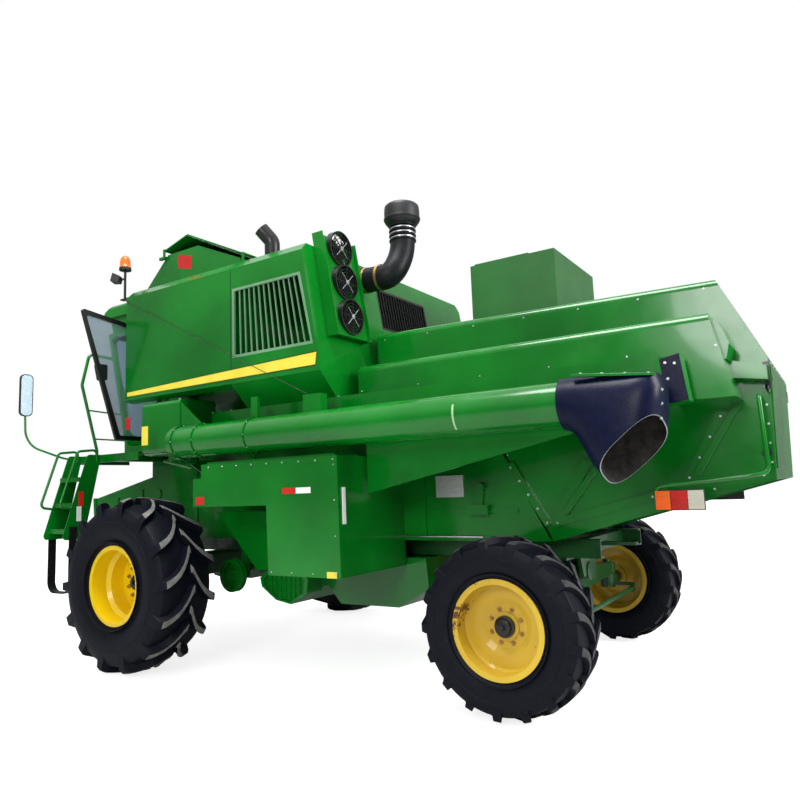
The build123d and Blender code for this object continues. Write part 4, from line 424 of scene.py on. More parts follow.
def skin(rings, loop=False, material=0):
    """Quads between successive rings, with flat ends unless the stack closes on itself."""
    count = len(rings[0])
    points = [Vector(p) for one in rings for p in one]
    faces = []
    for i in range(len(rings) if loop else len(rings) - 1):
        near, far = i * count, ((i + 1) % len(rings)) * count
        for j in range(count):
            after = (j + 1) % count
            faces.append((near + j, near + after, far + after, far + j))
    if not loop:
        faces += [tuple(range(count)), tuple(range(len(points) - count, len(points)))]
    return points, faces, material


def frame_of(direction):
    """A direction and two more unit vectors square to it."""
    axis = Vector(direction).normalized()
    side = axis.orthogonal().normalized()
    return axis, side, axis.cross(side)


def circle(centre, u, v, radius, steps):
    """Points round a centre, in the plane of two unit vectors."""
    angles = [2 * pi * k / steps for k in range(steps)]
    return [centre + (u * cos(a) + v * sin(a)) * radius for a in angles]


def turned(profile, centre, direction, steps=32, material=0, loop=False):
    """Rings of (radius, distance along the axis) pairs about an axis."""
    axis, u, v = frame_of(direction)
    centre = Vector(centre)
    # a radius of nothing would pile a ring's points on each other
    rings = [circle(centre + axis * far, u, v, max(radius, 0.01), steps) for radius, far in profile]
    return skin(rings, loop, material)


print("rings ready")

# %% Prisms and tubes
def slab(outline, y0, y1, material=0):
    """Outline in X and Z between two places across the machine."""
    return skin([[(x, y, z) for x, z in outline] for y in (y0, y1)], False, material)


def block(x0, x1, y0, y1, z0, z1, material=0):
    """Rectangular block."""
    return slab([(x0, z0), (x1, z0), (x1, z1), (x0, z1)], y0, y1, material)


def rounded(points, reach, steps=6):
    """Path whose corners become smooth bends that start reach before each corner."""
    # a bend takes less than half of a straight, so that two bends never meet
    most = 0.49
    points = [Vector(p) for p in points]
    path = [points[0]]
    for before, corner, after in zip(points, points[1:], points[2:]):
        a = corner + (before - corner).normalized() * min(reach, (before - corner).length * most)
        b = corner + (after - corner).normalized() * min(reach, (after - corner).length * most)
        for t in (k / steps for k in range(steps + 1)):
            path.append((1 - t) ** 2 * a + 2 * t * (1 - t) * corner + t * t * b)
    return path + [points[-1]]


def tube(points, radius, steps=12, material=0, reach=0.0):
    """Round bar along a path, its section turned without twist."""
    path = rounded(points, reach) if reach else [Vector(p) for p in points]
    last = len(path) - 1
    tangents = [(path[min(k + 1, last)] - path[max(k - 1, 0)]).normalized() for k in range(last + 1)]
    _, u, _ = frame_of(tangents[0])
    rings = []
    for place, tangent in zip(path, tangents):
        u = (u - tangent * u.dot(tangent)).normalized()
        rings.append(circle(place, u, tangent.cross(u), radius, steps))
    return skin(rings, False, material)


def bolt(centre, direction, size=9.0, material=0):
    """Hexagon head on a washer; size is half the width over the head's corners."""
    washer = [(size * 1.25, -1), (size * 1.25, size * 0.22)]
    head = [(size, 0), (size, size * 0.75), (size * 0.84, size * 0.92)]
    return [turned(washer, centre, direction, 16, material), turned(head, centre, direction, 6, material)]


def row(first, last, count, direction, size=7.0, material=0):
    """Bolts spread evenly from one place to another."""
    a, b = Vector(first), Vector(last)
    places = [a + (b - a) * k / max(count - 1, 1) for k in range(count)]
    return [part for place in places for part in bolt(place, direction, size, material)]


print("prisms and tubes ready")

# %% Pieces
# Edges that bend by more than this stay crisp
CRISP = radians(38)


def shift(point):
    """Metres in the model's frame from millimetres on the drawing."""
    return Vector(((point[0] + DRIVE_AXLE) / 1000, point[1] / 1000, point[2] / 1000))


def build(name, parts, finishes, body="root", bevel=0.0, origin=None,
          replaces=()):
    """Join the parts into one object, shade it, and let it ride on its body."""
    home = shift(origin) if origin else Vector((0, 0, 0))
    work = bmesh.new()
    for points, faces, material in parts:
        corners = [work.verts.new(shift(p) - home) for p in points]
        for number, face in enumerate(faces):
            new = work.faces.new([corners[k] for k in face])
            new.material_index = material[number] if isinstance(material, list) else material
            new.smooth = True
    bmesh.ops.recalc_face_normals(work, faces=work.faces)
    for edge in work.edges:
        edge.smooth = edge.is_manifold and edge.calc_face_angle(0.0) < CRISP
    mesh = bpy.data.meshes.new(name)
    work.to_mesh(mesh)
    work.free()
    for finish in finishes:
        mesh.materials.append(finish)
    made = bpy.data.objects.new(name, mesh)
    made.location = home
    bpy.context.scene.collection.objects.link(made)
    if bevel:
        soft = made.modifiers.new("soft_edges", "BEVEL")
        soft.width = bevel / 1000
        soft.segments = 2
        soft.limit_method = "ANGLE"
        soft.angle_limit = CRISP
    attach(made, body)
    if replaces:
        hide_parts(*replaces)
    print(name, len(mesh.polygons), "faces")
    return made


print("build ready")

# %% [markdown]
# ## Floor
# A plain pale floor, large enough that its edge stays out of view, catches the soft shadow. A glow
# that only the camera sees keeps it as pale as the backdrop, without lighting the machine's
# underside.

# %% Floor
FLOOR_REACH, FLOOR_GLOW = 60, 0.80
corners = [(x * FLOOR_REACH, y * FLOOR_REACH, 0) for x, y in ((-1, -1), (1, -1), (1, 1), (-1, 1))]
floor_mesh = bpy.data.meshes.new("floor")
floor_mesh.from_pydata(corners, [], [(0, 1, 2, 3)])
floor = bpy.data.objects.new("floor", floor_mesh)
bpy.context.scene.collection.objects.link(floor)
pale, pale_tree, pale_shader, pale_place = start("pale_floor", Roughness=0.9)
cloudy = add(pale_tree, NOISE, {}, {"Vector": pale_place, "Scale": 1000 / 3000.0})
tone = add(pale_tree, RAMP, {}, {"Fac": cloudy.outputs["Fac"]}, [(0.3, "#bdbdbd"), (0.7, "#c4c4c4")])
pale_tree.links.new(tone.outputs["Color"], pale_shader.inputs["Base Color"])
pale_shader.inputs["Emission Color"].default_value = linear("#ffffff")
seen = add(pale_tree, "ShaderNodeLightPath", {}, {})
lift = add(pale_tree, MATH, {"operation": "MULTIPLY"}, {0: seen.outputs["Is Camera Ray"],
                                                        1: FLOOR_GLOW})
pale_tree.links.new(lift.outputs["Value"], pale_shader.inputs["Emission Strength"])
floor_mesh.materials.append(pale)
print("floor")

# %% [markdown]
# ## Tyres
# A tractor tyre is a smooth bag with thick bars moulded on it. Each bar starts near the crown line
# and sweeps out over the shoulder, and the bars of the two halves are staggered. The carcass is
# turned, and each bar is a skin of four-point rings that widens towards its foot. The bar's top face
# gets the rubbed finish.

# %% Carcass and bars
def carcass_line(radius, width, bead, depth):
    """Outer line of the carcass as (radius, offset) pairs, from the left bead to the right one."""
    crown, rise = radius - depth, radius - depth - bead
    rim = [(bead + 1, 0.34), (bead + 2, 0.385), (bead + 16, 0.396), (bead + 34, 0.410)]
    # wall: share of the rise, share of the width
    wall = [(0.20, 0.448), (0.36, 0.483), (0.55, 0.497), (0.72, 0.490), (0.85, 0.468), (0.94, 0.430)]
    tread = [(crown - 10, 0.36), (crown - 4, 0.22), (crown, 0.08)]
    half = rim + [(bead + up * rise, share) for up, share in wall] + tread
    left = [(r, share * width) for r, share in half]
    return left + [(r, -share * width) for r, share in reversed(half)]


# Stations along a bar, from its hooked inner end to its shoulder: share of the width, share of the
# sweep, how far its foot and its top lie below the tread's outer radius, and its thickness
BAR = [(-0.035, 0.97, 14, 3, 1.10), (-0.025, 1.04, 14, 1, 1.30), (0.02, 0.93, 14, 0, 1.20),
       (0.07, 0.72, 14, 0, 1.05), (0.14, 0.50, 15, 1, 1.0), (0.22, 0.31, 17, 2, 1.0),
       (0.31, 0.17, 22, 5, 1.05), (0.39, 0.08, 36, 11, 1.12), (0.45, 0.03, 74, 22, 1.2),
       (0.488, 0.0, 140, 55, 1.3)]
# Half of a bar's width at its foot and at its top, as shares of its thickness
FOOT_HALF, TOP_HALF = 0.66, 0.44


def tread_bar(radius, width, depth, sweep, thick, angle, side, lead):
    """One bar; its four-point rings run from the crown line to the shoulder."""
    rings = []
    for share, along, foot, top, grow in BAR:
        turn_to = angle + lead * sweep / radius * (along - 0.5)
        low, high = radius - depth - foot, radius - top - 2
        ring = []
        for r, half in ((low, FOOT_HALF), (low, -FOOT_HALF), (high, -TOP_HALF), (high, TOP_HALF)):
            a = turn_to + half * thick * grow / r
            ring.append((r * sin(a), side * share * width, r * cos(a)))
        rings.append(ring)
    points, faces, _ = skin(rings)
    # each ring gives four faces, the third of them on top; the last two steps slope down the wall
    tops = [number % 4 == 2 and number < 4 * (len(rings) - 2) for number in range(len(faces))]
    return points, faces, [int(worn) for worn in tops]


print("carcass and bars ready")

# %% Four tyres
REAR_AXLE = -3600.0
# Wheel centres on the left side
CENTRES = {"front": (0, 1635, 785), "rear": (REAR_AXLE, 1335, 605)}
# The front and the rear tyres' bars point opposite ways round, which lead says by its sign
TYRES = {
    "front": dict(radius=785, width=590, bead=330, depth=68, bars=14, sweep=290, thick=60, lead=1,
                  top=TREAD_TOP),
    "rear": dict(radius=605, width=410, bead=305, depth=38, bars=17, sweep=170, thick=54, lead=-1,
                 top=WORN_BAR),
}


def tyre(covered, body, centre, radius, width, bead, depth, bars, sweep, thick, lead, top):
    """Carcass, two staggered rows of bars and two moulded lines on each wall."""
    parts = [turned(carcass_line(radius, width, bead, depth), (0, 0, 0), LEFT, 96, 0, True)]
    for k in range(bars):
        for side, _ in SIDES:
            angle = 2 * pi * (k + (0.0 if side > 0 else 0.5)) / bars
            parts.append(tread_bar(radius, width, depth, sweep, thick, angle, side, lead))
    for r in (bead + 60, bead + 0.62 * (radius - depth - bead)):
        for side, _ in SIDES:
            sunk, proud = side * width * 0.44, side * width * 0.4985
            line = [(r - 3, sunk), (r - 3, proud), (r + 3, proud), (r + 3, sunk)]
            parts.append(turned(line, (0, 0, 0), LEFT, 96, 0, True))
    middle = Vector(centre)
    placed = [([Vector(p) + middle for p in points], faces, material)
              for points, faces, material in parts]
    build(f"{covered}_cover", placed, [TYRE, top], body, 3.5, centre, (covered,))


for side, tag in SIDES:
    for axle, (x, y, z) in CENTRES.items():
        tyre(f"{axle}_tyre_{tag}", f"wheel_{axle}_{tag}", (x, side * y, z), **TYRES[axle])

# %% [markdown]
# ## Wheel nuts
# The rims are bolted to the hubs by a ring of plated nuts on studs, with a dark cap over the bearing.
# They ride with the wheel, so they are built about its centre.

# %% Wheel fittings
# How far the nuts' seat lies outside the wheel's centre, radius of their ring, their number and size
NUTS = {"front": dict(face=-24, ring=150, nuts=10, size=17),
        "rear": dict(face=24, ring=118, nuts=8, size=15)}
CAP = [(72, 0), (72, 30), (58, 34), (52, 52), (30, 60), (12, 61)]


def wheel_fittings(name, body, centre, side, face, ring, nuts, size):
    """Nuts with studs, and a hub cap with its bolt."""
    x, y, z = centre
    outward = (0, side, 0)
    stud = [(size * 0.5, 0), (size * 0.5, size * 1.5), (size * 0.35, size * 1.7)]
    parts = []
    for k in range(nuts):
        a = 2 * pi * (k + 0.5) / nuts
        spot = (x + ring * cos(a), y + side * face, z + ring * sin(a))
        parts += bolt(spot, outward, size)
        parts.append(turned(stud, spot, outward, 10))
    parts += bolt((x, y + side * (face + 70), z), outward, 20, 1)
    parts.append(turned(CAP, (x, y + side * (face + 10), z), outward, 28, 1))
    build(name, parts, [PASSIVATED, BLACK], body, 0.0, centre)


for side, tag in SIDES:
    for axle, (x, y, z) in CENTRES.items():
        wheel_fittings(f"{axle}_nuts_{tag}", f"wheel_{axle}_{tag}", (x, side * y, z), side,
                       **NUTS[axle])

# %% [markdown]
# ## Stripe, films and plates
# A tapering yellow film with a black edge runs along the tank and the engine housing. Reflective
# films and a bare aluminium plate sit on the lower side. Each is a thin sheet just proud of the
# panel, because a film painted into the panel's finish would need a seam in its texture.

# %% Side stripes
STRIPE = [(300, 2568), (300, 2608), (-2146, 2684), (-2130, 2582)]
EDGE = [(306, 2562), (306, 2614), (-2152, 2692), (-2134, 2574)]
for side, tag, wall in ((1, "left", 1550), (-1, "right", 1250)):
    films = [slab(EDGE, side * wall, side * (wall + 1.2), 1),
             slab(STRIPE, side * wall, side * (wall + 2.2))]
    build(f"side_stripe_{tag}", films, [YELLOW_FILM, BLACK_FILM], "root")

# %% Films and the bare plate
build("shield_reflector", [block(-2030, -1890, 1699, 1702, 1552, 1598),
                           block(-2180, -2031, 1699, 1702, 1552, 1598, 1)],
      [RED_FILM, WHITE_FILM], "root")
build("rear_reflector", [block(-2456.5, -2447, 1622, 1656, 1312, 1588)], [WHITE_FILM], "root")
mark = slab([(-300, 3940), (-500, 3890), (-500, 3752), (-300, 3802)], 1419, 1421.5)
build("tank_mark", [mark], [RED_FILM], "root")
plate = [block(-3036, -2780, 799, 816, 1474, 1650)]
for x in (-3024, -2792):
    for z in (1486, 1638):
        plate.append(turned([(5, 0), (4, 2), (2, 3)], (x, 816, z), LEFT, 10))
build("bare_plate", plate, [BARE_PLATE], "root", 1.0)

# %% Painted highlight on the auger, and marks on the shield
AUGER_Y, AUGER_Z = 1600, 2050
# A painted highlight, a pale band round part of the auger's collar, just proud of it
HIGHLIGHT_RADIUS = 146.5
highlight_band = []
for a in (radians(-48 + 8 * k) for k in range(10)):
    highlight_band += [(x, AUGER_Y + HIGHLIGHT_RADIUS * cos(a), AUGER_Z + HIGHLIGHT_RADIUS * sin(a)) for x in (-3476, -3462)]
highlight_faces = [(k, k + 1, k + 3, k + 2) for k in range(0, len(highlight_band) - 2, 2)]
build("auger_collar_highlight", [(highlight_band, highlight_faces, 0)], [COLLAR_HIGHLIGHT], "auger")
labels = [block(-2415, -2322, 1699, 1702, 918, 964, 1), block(-986, -886, 1699, 1702, 1485, 1552)]
build("shield_films", labels, [RED_FILM, YELLOW_FILM], "root")
build("marker_lens", [block(246, 304, 1549, 1561, 2236, 2356)], [RED], "root", 2.0)
build("elbow_film", [block(-305, -215, 1758.5, 1760, 2040, 2215)], [YELLOW_FILM], "auger")

# %% [markdown]
# ## Bolts along the seams
# Sheets meet in lapped seams, closed by rows of plated bolts. They are small, but the eye reads the
# machine's size from them. Each row is laid from one end of a seam to the other.

# %% Seam bolts
# Columns: first bolt's x and z, last bolt's x and z, distance from the middle, number, size
SEAMS = [(-2300, 2880, -4950, 2845, 780, 7, 6), (-3800, 1262, -4500, 1440, 794, 2, 6),
         (-4900, 1480, -5200, 1560, 780, 2, 6), (-3245, 2090, -3420, 1790, 780, 3, 6),
         (-3452, 1690, -3722, 1262, 804, 5, 8), (-4752, 1560, -4980, 1960, 794, 4, 6),
         (-5255, 1640, -5262, 2260, 780, 6, 6), (-2300, 2380, -5040, 2380, 1150, 6, 5)]
seams = []
for side, _ in SIDES:
    for x0, z0, x1, z1, y, count, size in SEAMS:
        seams += row((x0, side * y, z0), (x1, side * y, z1), count, (0, side, 0), size)
seams += row((-5292, -600, 2300), (-5292, 600, 2300), 7, REAR, 6)
build("seam_bolts", seams, [ZINC], "root")

# %% Shield bolts
SHIELD_FACE = 1700
shield_bolts = row((-1040, SHIELD_FACE, 1800), (-2400, SHIELD_FACE, 1800), 9, LEFT, 6)
shield_bolts += row((-2415, SHIELD_FACE, 960), (-2405, SHIELD_FACE, 1760), 4, LEFT, 5)
shield_bolts += row((-1760, SHIELD_FACE, 945), (-2400, SHIELD_FACE, 945), 4, LEFT, 5)
shield_bolts += row((-2200, 1345, 2331), (-700, 1345, 2331), 7, UP, 5)
build("shield_bolts", shield_bolts, [ZINC], "root")

# %% [markdown]
# ## Auger fittings
# The tube's flanges are pulled together by bolts all round, and the folded tube rests against a
# rubber-faced plate at the end of the ledge. Plate and bolts are thin pieces laid on the solids.

# %% Auger fittings
FLANGES, FLANGE_RADIUS, FLANGE_BOLTS = (-604, -876, -1510), 150, 8
flange = []
for x in FLANGES:
    for k in range(FLANGE_BOLTS):
        a = 2 * pi * k / FLANGE_BOLTS
        y, z = AUGER_Y + FLANGE_RADIUS * cos(a), AUGER_Z + FLANGE_RADIUS * sin(a)
        flange += bolt((x, y, z), REAR, 5)
build("auger_bolts", flange, [ZINC], "auger")
PAD_FACE = 1382
rest = [slab([(-4742, 2299), (-4860, 2321), (-4894, 2030), (-4768, 2012)], 1370, PAD_FACE)]
build("rest_pad", rest, [SPOUT_RUBBER], "root", 3.0)
rest_bolts = []
for x, z in ((-4775, 2270), (-4830, 2262), (-4785, 2170)):
    rest_bolts += bolt((x, PAD_FACE, z), LEFT, 7)
build("rest_bolts", rest_bolts, [ZINC], "root")

# %% [markdown]
# ## Rubber spout
# Grain leaves the auger through a spout of thick rubber, clamped round the tube and open below. It
# is round at the tube, squarer at the mouth, and its mouth is turned outwards. Sections from a short
# table are joined into an outer and an inner skin, so the wall has a real thickness and its cut edge
# shows.

# %% Sections of the spout
# From the tube to the mouth: top and bottom points in X and Z, and half the width
HOOD = [((-4196, 2216), (-4196, 1884), 166), ((-4330, 2210), (-4245, 1868), 178),
        ((-4520, 2202), (-4285, 1815), 189), ((-4710, 2190), (-4318, 1750), 198),
        ((-4794, 2165), (-4342, 1695), 203), ((-4816, 2085), (-4366, 1645), 206),
        ((-4810, 1978), (-4390, 1608), 207), ((-4790, 1888), (-4412, 1582), 207)]
# How far each section's outer side is lifted and its inner side dropped, which turns the mouth
SHEAR = [0, 0, 2, 10, 28, 50, 70, 86]
WALL, ROUND = 8.0, 56


def squared(value, power):
    """Share of an arm that a point keeps, pushed towards a corner where power < 1."""
    return abs(value) ** power * (1 if value > 0 else -1)


def hood_ring(number, inset):
    """Closed section, round at the tube and squarer towards the mouth."""
    top, bottom, half = HOOD[number]
    power = 2 / (2.0 + 0.22 * min(number, 4))
    high, low = Vector((top[0], AUGER_Y, top[1])), Vector((bottom[0], AUGER_Y, bottom[1]))
    middle, arm = (high + low) / 2, (high - low) / 2
    arm *= 1 - inset / arm.length
    ring = []
    for k in range(ROUND):
        up = squared(cos(2 * pi * k / ROUND), power)
        out = squared(sin(2 * pi * k / ROUND), power)
        ring.append(middle + arm * up + Vector((0, (half - inset) * out, SHEAR[number] * out)))
    return ring


print(len(HOOD), "sections")

# %% Spout, strip and clips
outer = [hood_ring(k, 0) for k in range(len(HOOD))]
inner = [hood_ring(k, WALL) for k in reversed(range(len(HOOD)))]
points, faces, _ = skin(outer + inner, True)
# The outside, the mouth's cut edge in pale grey as a painted highlight, then the dusty inside
finish_of = [0] * ROUND * (len(HOOD) - 1) + [2] * ROUND + [1] * ROUND * len(HOOD)
build("spout_hood", [(points, faces, finish_of)], [SPOUT_RUBBER, DUSTY_INSIDE, GREY_NYLON_AND_RIM_HIGHLIGHT],
      "auger", 0.0, None, ("auger_spout",))
strip = [slab([(-4300, 2196), (-4780, 2150), (-4780, 2164), (-4300, 2214)], 1706, 1760)]
build("spout_strip", strip, [GREEN], "auger", 2.0)
clips = row((-4352, 1733, 2209), (-4748, 1733, 2167), 4, (0.09, 0.2, 1), 9)
for z in (2070, 1990, 1905):
    clips += bolt((-4806 + (2070 - z) * 0.1, 1690, z), (-1, 0.3, 0), 8)
build("spout_clips", clips, [ZINC], "auger")

# %% [markdown]
# ## Lamps
# The beacon is an amber dome on a black base, the work lamp below it a black box with a clear lens,
# and the tail lamp a black tray with amber, red and white lenses. CAD holds each as one solid, so a
# built piece with its own finishes stands for it.

# %% Beacon and work lamp
def boxed(centre, size, turn_z, tilt, material=0, taper=1.0):
    """Block about its centre, turned about the upright and tilted, one end smaller by taper."""
    turn_by = Matrix.Rotation(radians(turn_z), 3, "Z") @ Matrix.Rotation(radians(tilt), 3, "Y")
    square = [(-0.5, -0.5), (0.5, -0.5), (0.5, 0.5), (-0.5, 0.5)]
    rings = []
    for x, k in ((-0.5, taper), (0.5, 1.0)):
        ring = [Vector((x * size[0], y * size[1] * k, z * size[2] * k)) for y, z in square]
        rings.append([Vector(centre) + turn_by @ corner for corner in ring])
    return skin(rings, False, material)


STEM_X, STEM_Y = 570, 1400
# The work lamp's turn and tilt in degrees
AIM, NOD = 35, -14
dome = [(58, 0), (60, 6), (55, 12), (53, 60), (48, 95), (34, 122), (14, 134)]
lamp = [
    block(330, 342, 1330, 1460, 3520, 3655, 1), block(330, 620, 1375, 1425, 3640, 3652, 1),
    tube([(STEM_X, STEM_Y, 3645), (STEM_X, STEM_Y, 3970)], 13, 14, 0),
    turned([(62, 0), (62, 24), (56, 30)], (STEM_X, STEM_Y, 3962), UP, 32, 0),
    turned(dome, (STEM_X, STEM_Y, 3990), UP, 40, 2),
    tube([(STEM_X, STEM_Y, 3868), (628, 1442, 3868)], 11, 10, 0),
    boxed((634, 1452, 3868), (78, 132, 92), AIM, NOD, 0, 0.72),
    boxed((668, 1476, 3878), (10, 118, 80), AIM, NOD, 3),
]
lamp += row((343, 1350, 3545), (343, 1440, 3545), 2, AHEAD, 6, 1)
build("beacon_and_lamp", lamp, [PLASTIC, BLACK, AMBER, WHITE], "root", 1.5, None,
      ("beacon",))

# %% Tail lamps
LAMP_Y = 1000
# Lenses from the rear one to the front one: start, end, finish
LENSES = ((-4866, -4772, 3), (-4768, -4666, 2), (-4662, -4569, 1))
# The bent tube that carries a lamp, from the hood's wall down to the tray
ARM = [(-5230, 781, 2060), (-5230, 940, 2060), (-5245, 940, 1580), (-5160, LAMP_Y, 1560),
       (-4640, LAMP_Y, 1515), (-4575, LAMP_Y, 1505), (-4575, LAMP_Y, 1440)]


def tail_lamp(side):
    """Tray, three ribbed lenses and the bent tube that carries them."""
    y, face = side * LAMP_Y, side * 20
    parts = [block(-4870, -4565, y - side * 16, y + side * 6, 1352, 1486, 0)]
    for x0, x1, finish in LENSES:
        parts.append(block(x0, x1, y + side * 4, y + face, 1358, 1480, finish))
        for z in (1358 + k * 24.4 for k in range(1, 5)):
            parts.append(block(x0, x1, y + face, y + face + side * 2, z - 8, z + 8, finish))
    parts.append(tube([(x, side * across, z) for x, across, z in ARM], 14, 14, 4, 40))
    return parts


build("tail_lamps_built", tail_lamp(1) + tail_lamp(-1), [PLASTIC, AMBER, RED, WHITE, GREEN], "root",
      1.5, None, ("tail_lamps",))

# %% [markdown]
# ## Mirrors
# Each mirror is a moulded black shell with a slightly sunk glass that looks back along the machine.
# Its arm is a bent tube from the corner of the deck, so the built piece follows the same bends as
# the solid.

# %% Mirrors
def capsule(y0, y1, z0, z1, radius, x, inset=0.0, steps=8):
    """Rounded rectangle seen along the machine."""
    corners = ((y1 - radius, z1 - radius, 0), (y0 + radius, z1 - radius, 90),
               (y0 + radius, z0 + radius, 180), (y1 - radius, z0 + radius, 270))
    ring = []
    for cy, cz, first in corners:
        for k in range(steps + 1):
            a = radians(first + 90 * k / steps)
            ring.append((x, cy + (radius - inset) * cos(a), cz + (radius - inset) * sin(a)))
    return ring


MIRROR_Y = 1885
MIRROR_ARM = [(1440, 1391, 2010), (1440, 1500, 2010), (1440, 1650, 2060), (1500, 1820, 2130),
              (1530, MIRROR_Y, 2250), (1550, MIRROR_Y, 2520)]
# The shell from its rim to its back: place along the machine, and how far its edge draws in
SHELL = ((1536, 2), (1530, 0), (1558, 0), (1576, 10), (1586, 28))
mirrors = []
for side, _ in SIDES:
    mirrors.append(tube([(x, side * y, z) for x, y, z in MIRROR_ARM], 11, 12, 2, 70))
    mirrors.append(tube([(1550, side * MIRROR_Y, 2500), (1552, side * MIRROR_Y, 2860)], 9, 12, 2))
    lo, hi = sorted((side * 1815, side * 1950))
    mirrors.append(skin([capsule(lo, hi, 2460, 2905, 50, x, inset) for x, inset in SHELL]))
    glass = [capsule(lo + 9, hi - 9, 2469, 2896, 42, x) for x in (1529.2, 1533)]
    mirrors.append(skin(glass, False, 1))
# the mirror glass's pale blue is a painted reflection of the sky
build("mirror_pair", mirrors, [PLASTIC, MIRROR_WITH_PAINTED_REFLECTION, GREEN], "root", 0.0, None,
      ("mirrors",))

# %% [markdown]
# ## Air intake
# Air for the engine comes through a bowl-shaped pre-cleaner, a ribbed neck and a wide rubber elbow
# held by band clamps. The hose is a tube with a smooth bend; ribs, clamps and bowl are turned.

# %% Air intake
hose_path = [(-1900, 780, 3478), (-2180, 780, 3463), (-2400, 780, 3450), (-2450, 660, 3680),
             (-2450, 650, 3900)]
CLAMP = [(116, 0), (119, 0), (119, 26), (116, 26)]
RIB = [(112, 0), (124, 5), (124, 17), (112, 22)]
BAND = [(114, 24), (118, 24), (118, 34), (114, 34)]
BOWL_FOOT = 3930
bowl = [(100, 3930), (120, 3936), (140, 3956), (158, 3980), (163, 3996), (168, 4000), (168, 4012),
        (162, 4018), (163, 4060), (160, 4110), (156, 4128), (140, 4142), (90, 4149), (20, 4150)]
intake = [tube(hose_path, 113, 40, 0, 130)]
for x in (-2150, -2300):
    intake.append(turned(CLAMP, (x, 780, 3461), (1, 0, 0.05), 40, 1, True))
for z in (3790, 3835, 3880, 3925):
    intake.append(turned(RIB, (-2450, 651, z), UP, 40, 0, True))
    intake.append(turned(BAND, (-2450, 651, z), UP, 40, 2, True))
intake.append(turned([(r, z - BOWL_FOOT) for r, z in bowl], (-2450, 650, BOWL_FOOT), UP, 48, 3))
build("air_intake_built", intake, [HOSE, PASSIVATED, ZINC, PLASTIC], "root", 0.0,
      None, ("air_intake",))

# %% [markdown]
# ## Cooler and screen details
# Pale nylon motor mounts cross the black fan guards, and fine wire mesh closes the screen in the
# rear wall. The mesh is far too fine to model, so its wires are drawn 24 mm apart.

# %% Fan spiders and cores
def rear_wall(z):
    """Place along the machine of the engine housing's raked rear wall, at a height."""
    return -1995 - 0.16444 * (3655 - z)


FAN_Y, FAN_HEIGHTS = 1135, (3040, 3355, 3670)
PANEL_DEPTH, GUARD_DEPTH, CORE_DEPTH = 80, 45, 20
HUB, ARM_END = 20, 104
CORE = [(112, 0), (112, 6), (60, 9), (8, 10)]
spiders, cores = [], []
for z in FAN_HEIGHTS:
    x = rear_wall(z) - PANEL_DEPTH - GUARD_DEPTH
    spiders.append(turned([(20, 0), (20, -4), (16, -7), (6, -8)], (x, FAN_Y, z), AHEAD, 24))
    for a in (pi / 4 + k * pi / 2 for k in range(4)):
        arm = [(x - 1, FAN_Y + r * cos(a), z + r * sin(a)) for r in (HUB, ARM_END)]
        spiders.append(tube(arm, 3.0, 8))
    # the finned core behind a fan, a dark dished disc so that no sky shows through the blades
    cores.append(turned(CORE, (rear_wall(z) - CORE_DEPTH, FAN_Y, z), AHEAD, 32))
build("fan_spiders", spiders, [GREY_NYLON_AND_RIM_HIGHLIGHT], "root")
build("cooler_cores", cores, [BLACK], "root")

# %% Screen mesh
WIRE_PITCH, LOWEST_WIRE, WIRES = 24, 3084, 17
wires = []
for z in (LOWEST_WIRE + k * WIRE_PITCH for k in range(WIRES)):
    x = rear_wall(z) + 3
    wires.append(tube([(x, -378, z), (x, 478, z)], 2.2, 6))
build("screen_wires", wires, [BLACK], "root")

# %% [markdown]
# ## Cab interior
# The driver's seat is foam under woven fabric. Each cushion is a crowned closed form: its sides pull
# in between the corners and two sewn channels run across it. A grid of points is swelled by a
# formula, which is quick and gives the same cushion every time.

# %% Cushion
def cushion(centre, size, lean, crown):
    """Crowned pad about its centre, leaned about the cross axis, with two sewn channels."""
    turn_by = Matrix.Rotation(radians(lean), 3, "Y")
    steps = 14
    places = [2 * i / steps - 1 for i in range(steps + 1)]
    points = []
    for face in (1, -1):
        for u in places:
            for v in places:
                pull = 1 - 0.05 * (u * u * (1 - v * v) + v * v * (1 - u * u))
                swell = max(0.0, (1 - u ** 4) * (1 - v ** 4)) ** 0.4
                groove = 0.10 * max(0.0, 1 - abs(abs(u) - 0.5) / 0.08) * swell
                body = 0.5 * size[2] * (0.35 + 0.65 * swell)
                rise = crown * (1 - u * u) * (1 - v * v) * (face > 0)
                height = face * (body + rise - groove * size[2])
                flat = Vector((u * pull * size[0] / 2, v * pull * size[1] / 2, height))
                points.append(Vector(centre) + turn_by @ flat)
    across = steps + 1
    layer = across ** 2
    faces = []
    for first in (0, layer):
        for a in (first + i * across + j for i in range(steps) for j in range(steps)):
            faces.append((a, a + 1, a + across + 1, a + across))
    border = list(range(across)) + [i * across + steps for i in range(1, across)]
    border += [steps * across + j for j in range(steps - 1, -1, -1)]
    border += [i * across for i in range(steps - 1, 0, -1)]
    for a, b in zip(border, border[1:] + border[:1]):
        faces.append((a, b, b + layer, a + layer))
    return points, faces, 0


print("cushion ready")

# %% Seat
seat = build("seat_cushion", [cushion((725, 0, 2436), (440, 480, 105), -2, 18)], [FABRIC], "root")
back = build("seat_backrest", [cushion((498, 0, 2775), (600, 450, 84), 84, 14)], [FABRIC], "root")
base = [block(560, 860, -170, 170, 2081, 2380, 0), block(520, 930, -230, 230, 2368, 2384, 0)]
for side, _ in SIDES:
    base.append(block(470, 800, side * 237, side * 299, 2650, 2690, 0))
    base.append(block(520, 560, side * 228, side * 250, 2480, 2655, 0))
build("seat_frame", base, [PLASTIC], "root", 6.0, None, ("operator_seat",))
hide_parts("operator_seat")
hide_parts("operator_seat")

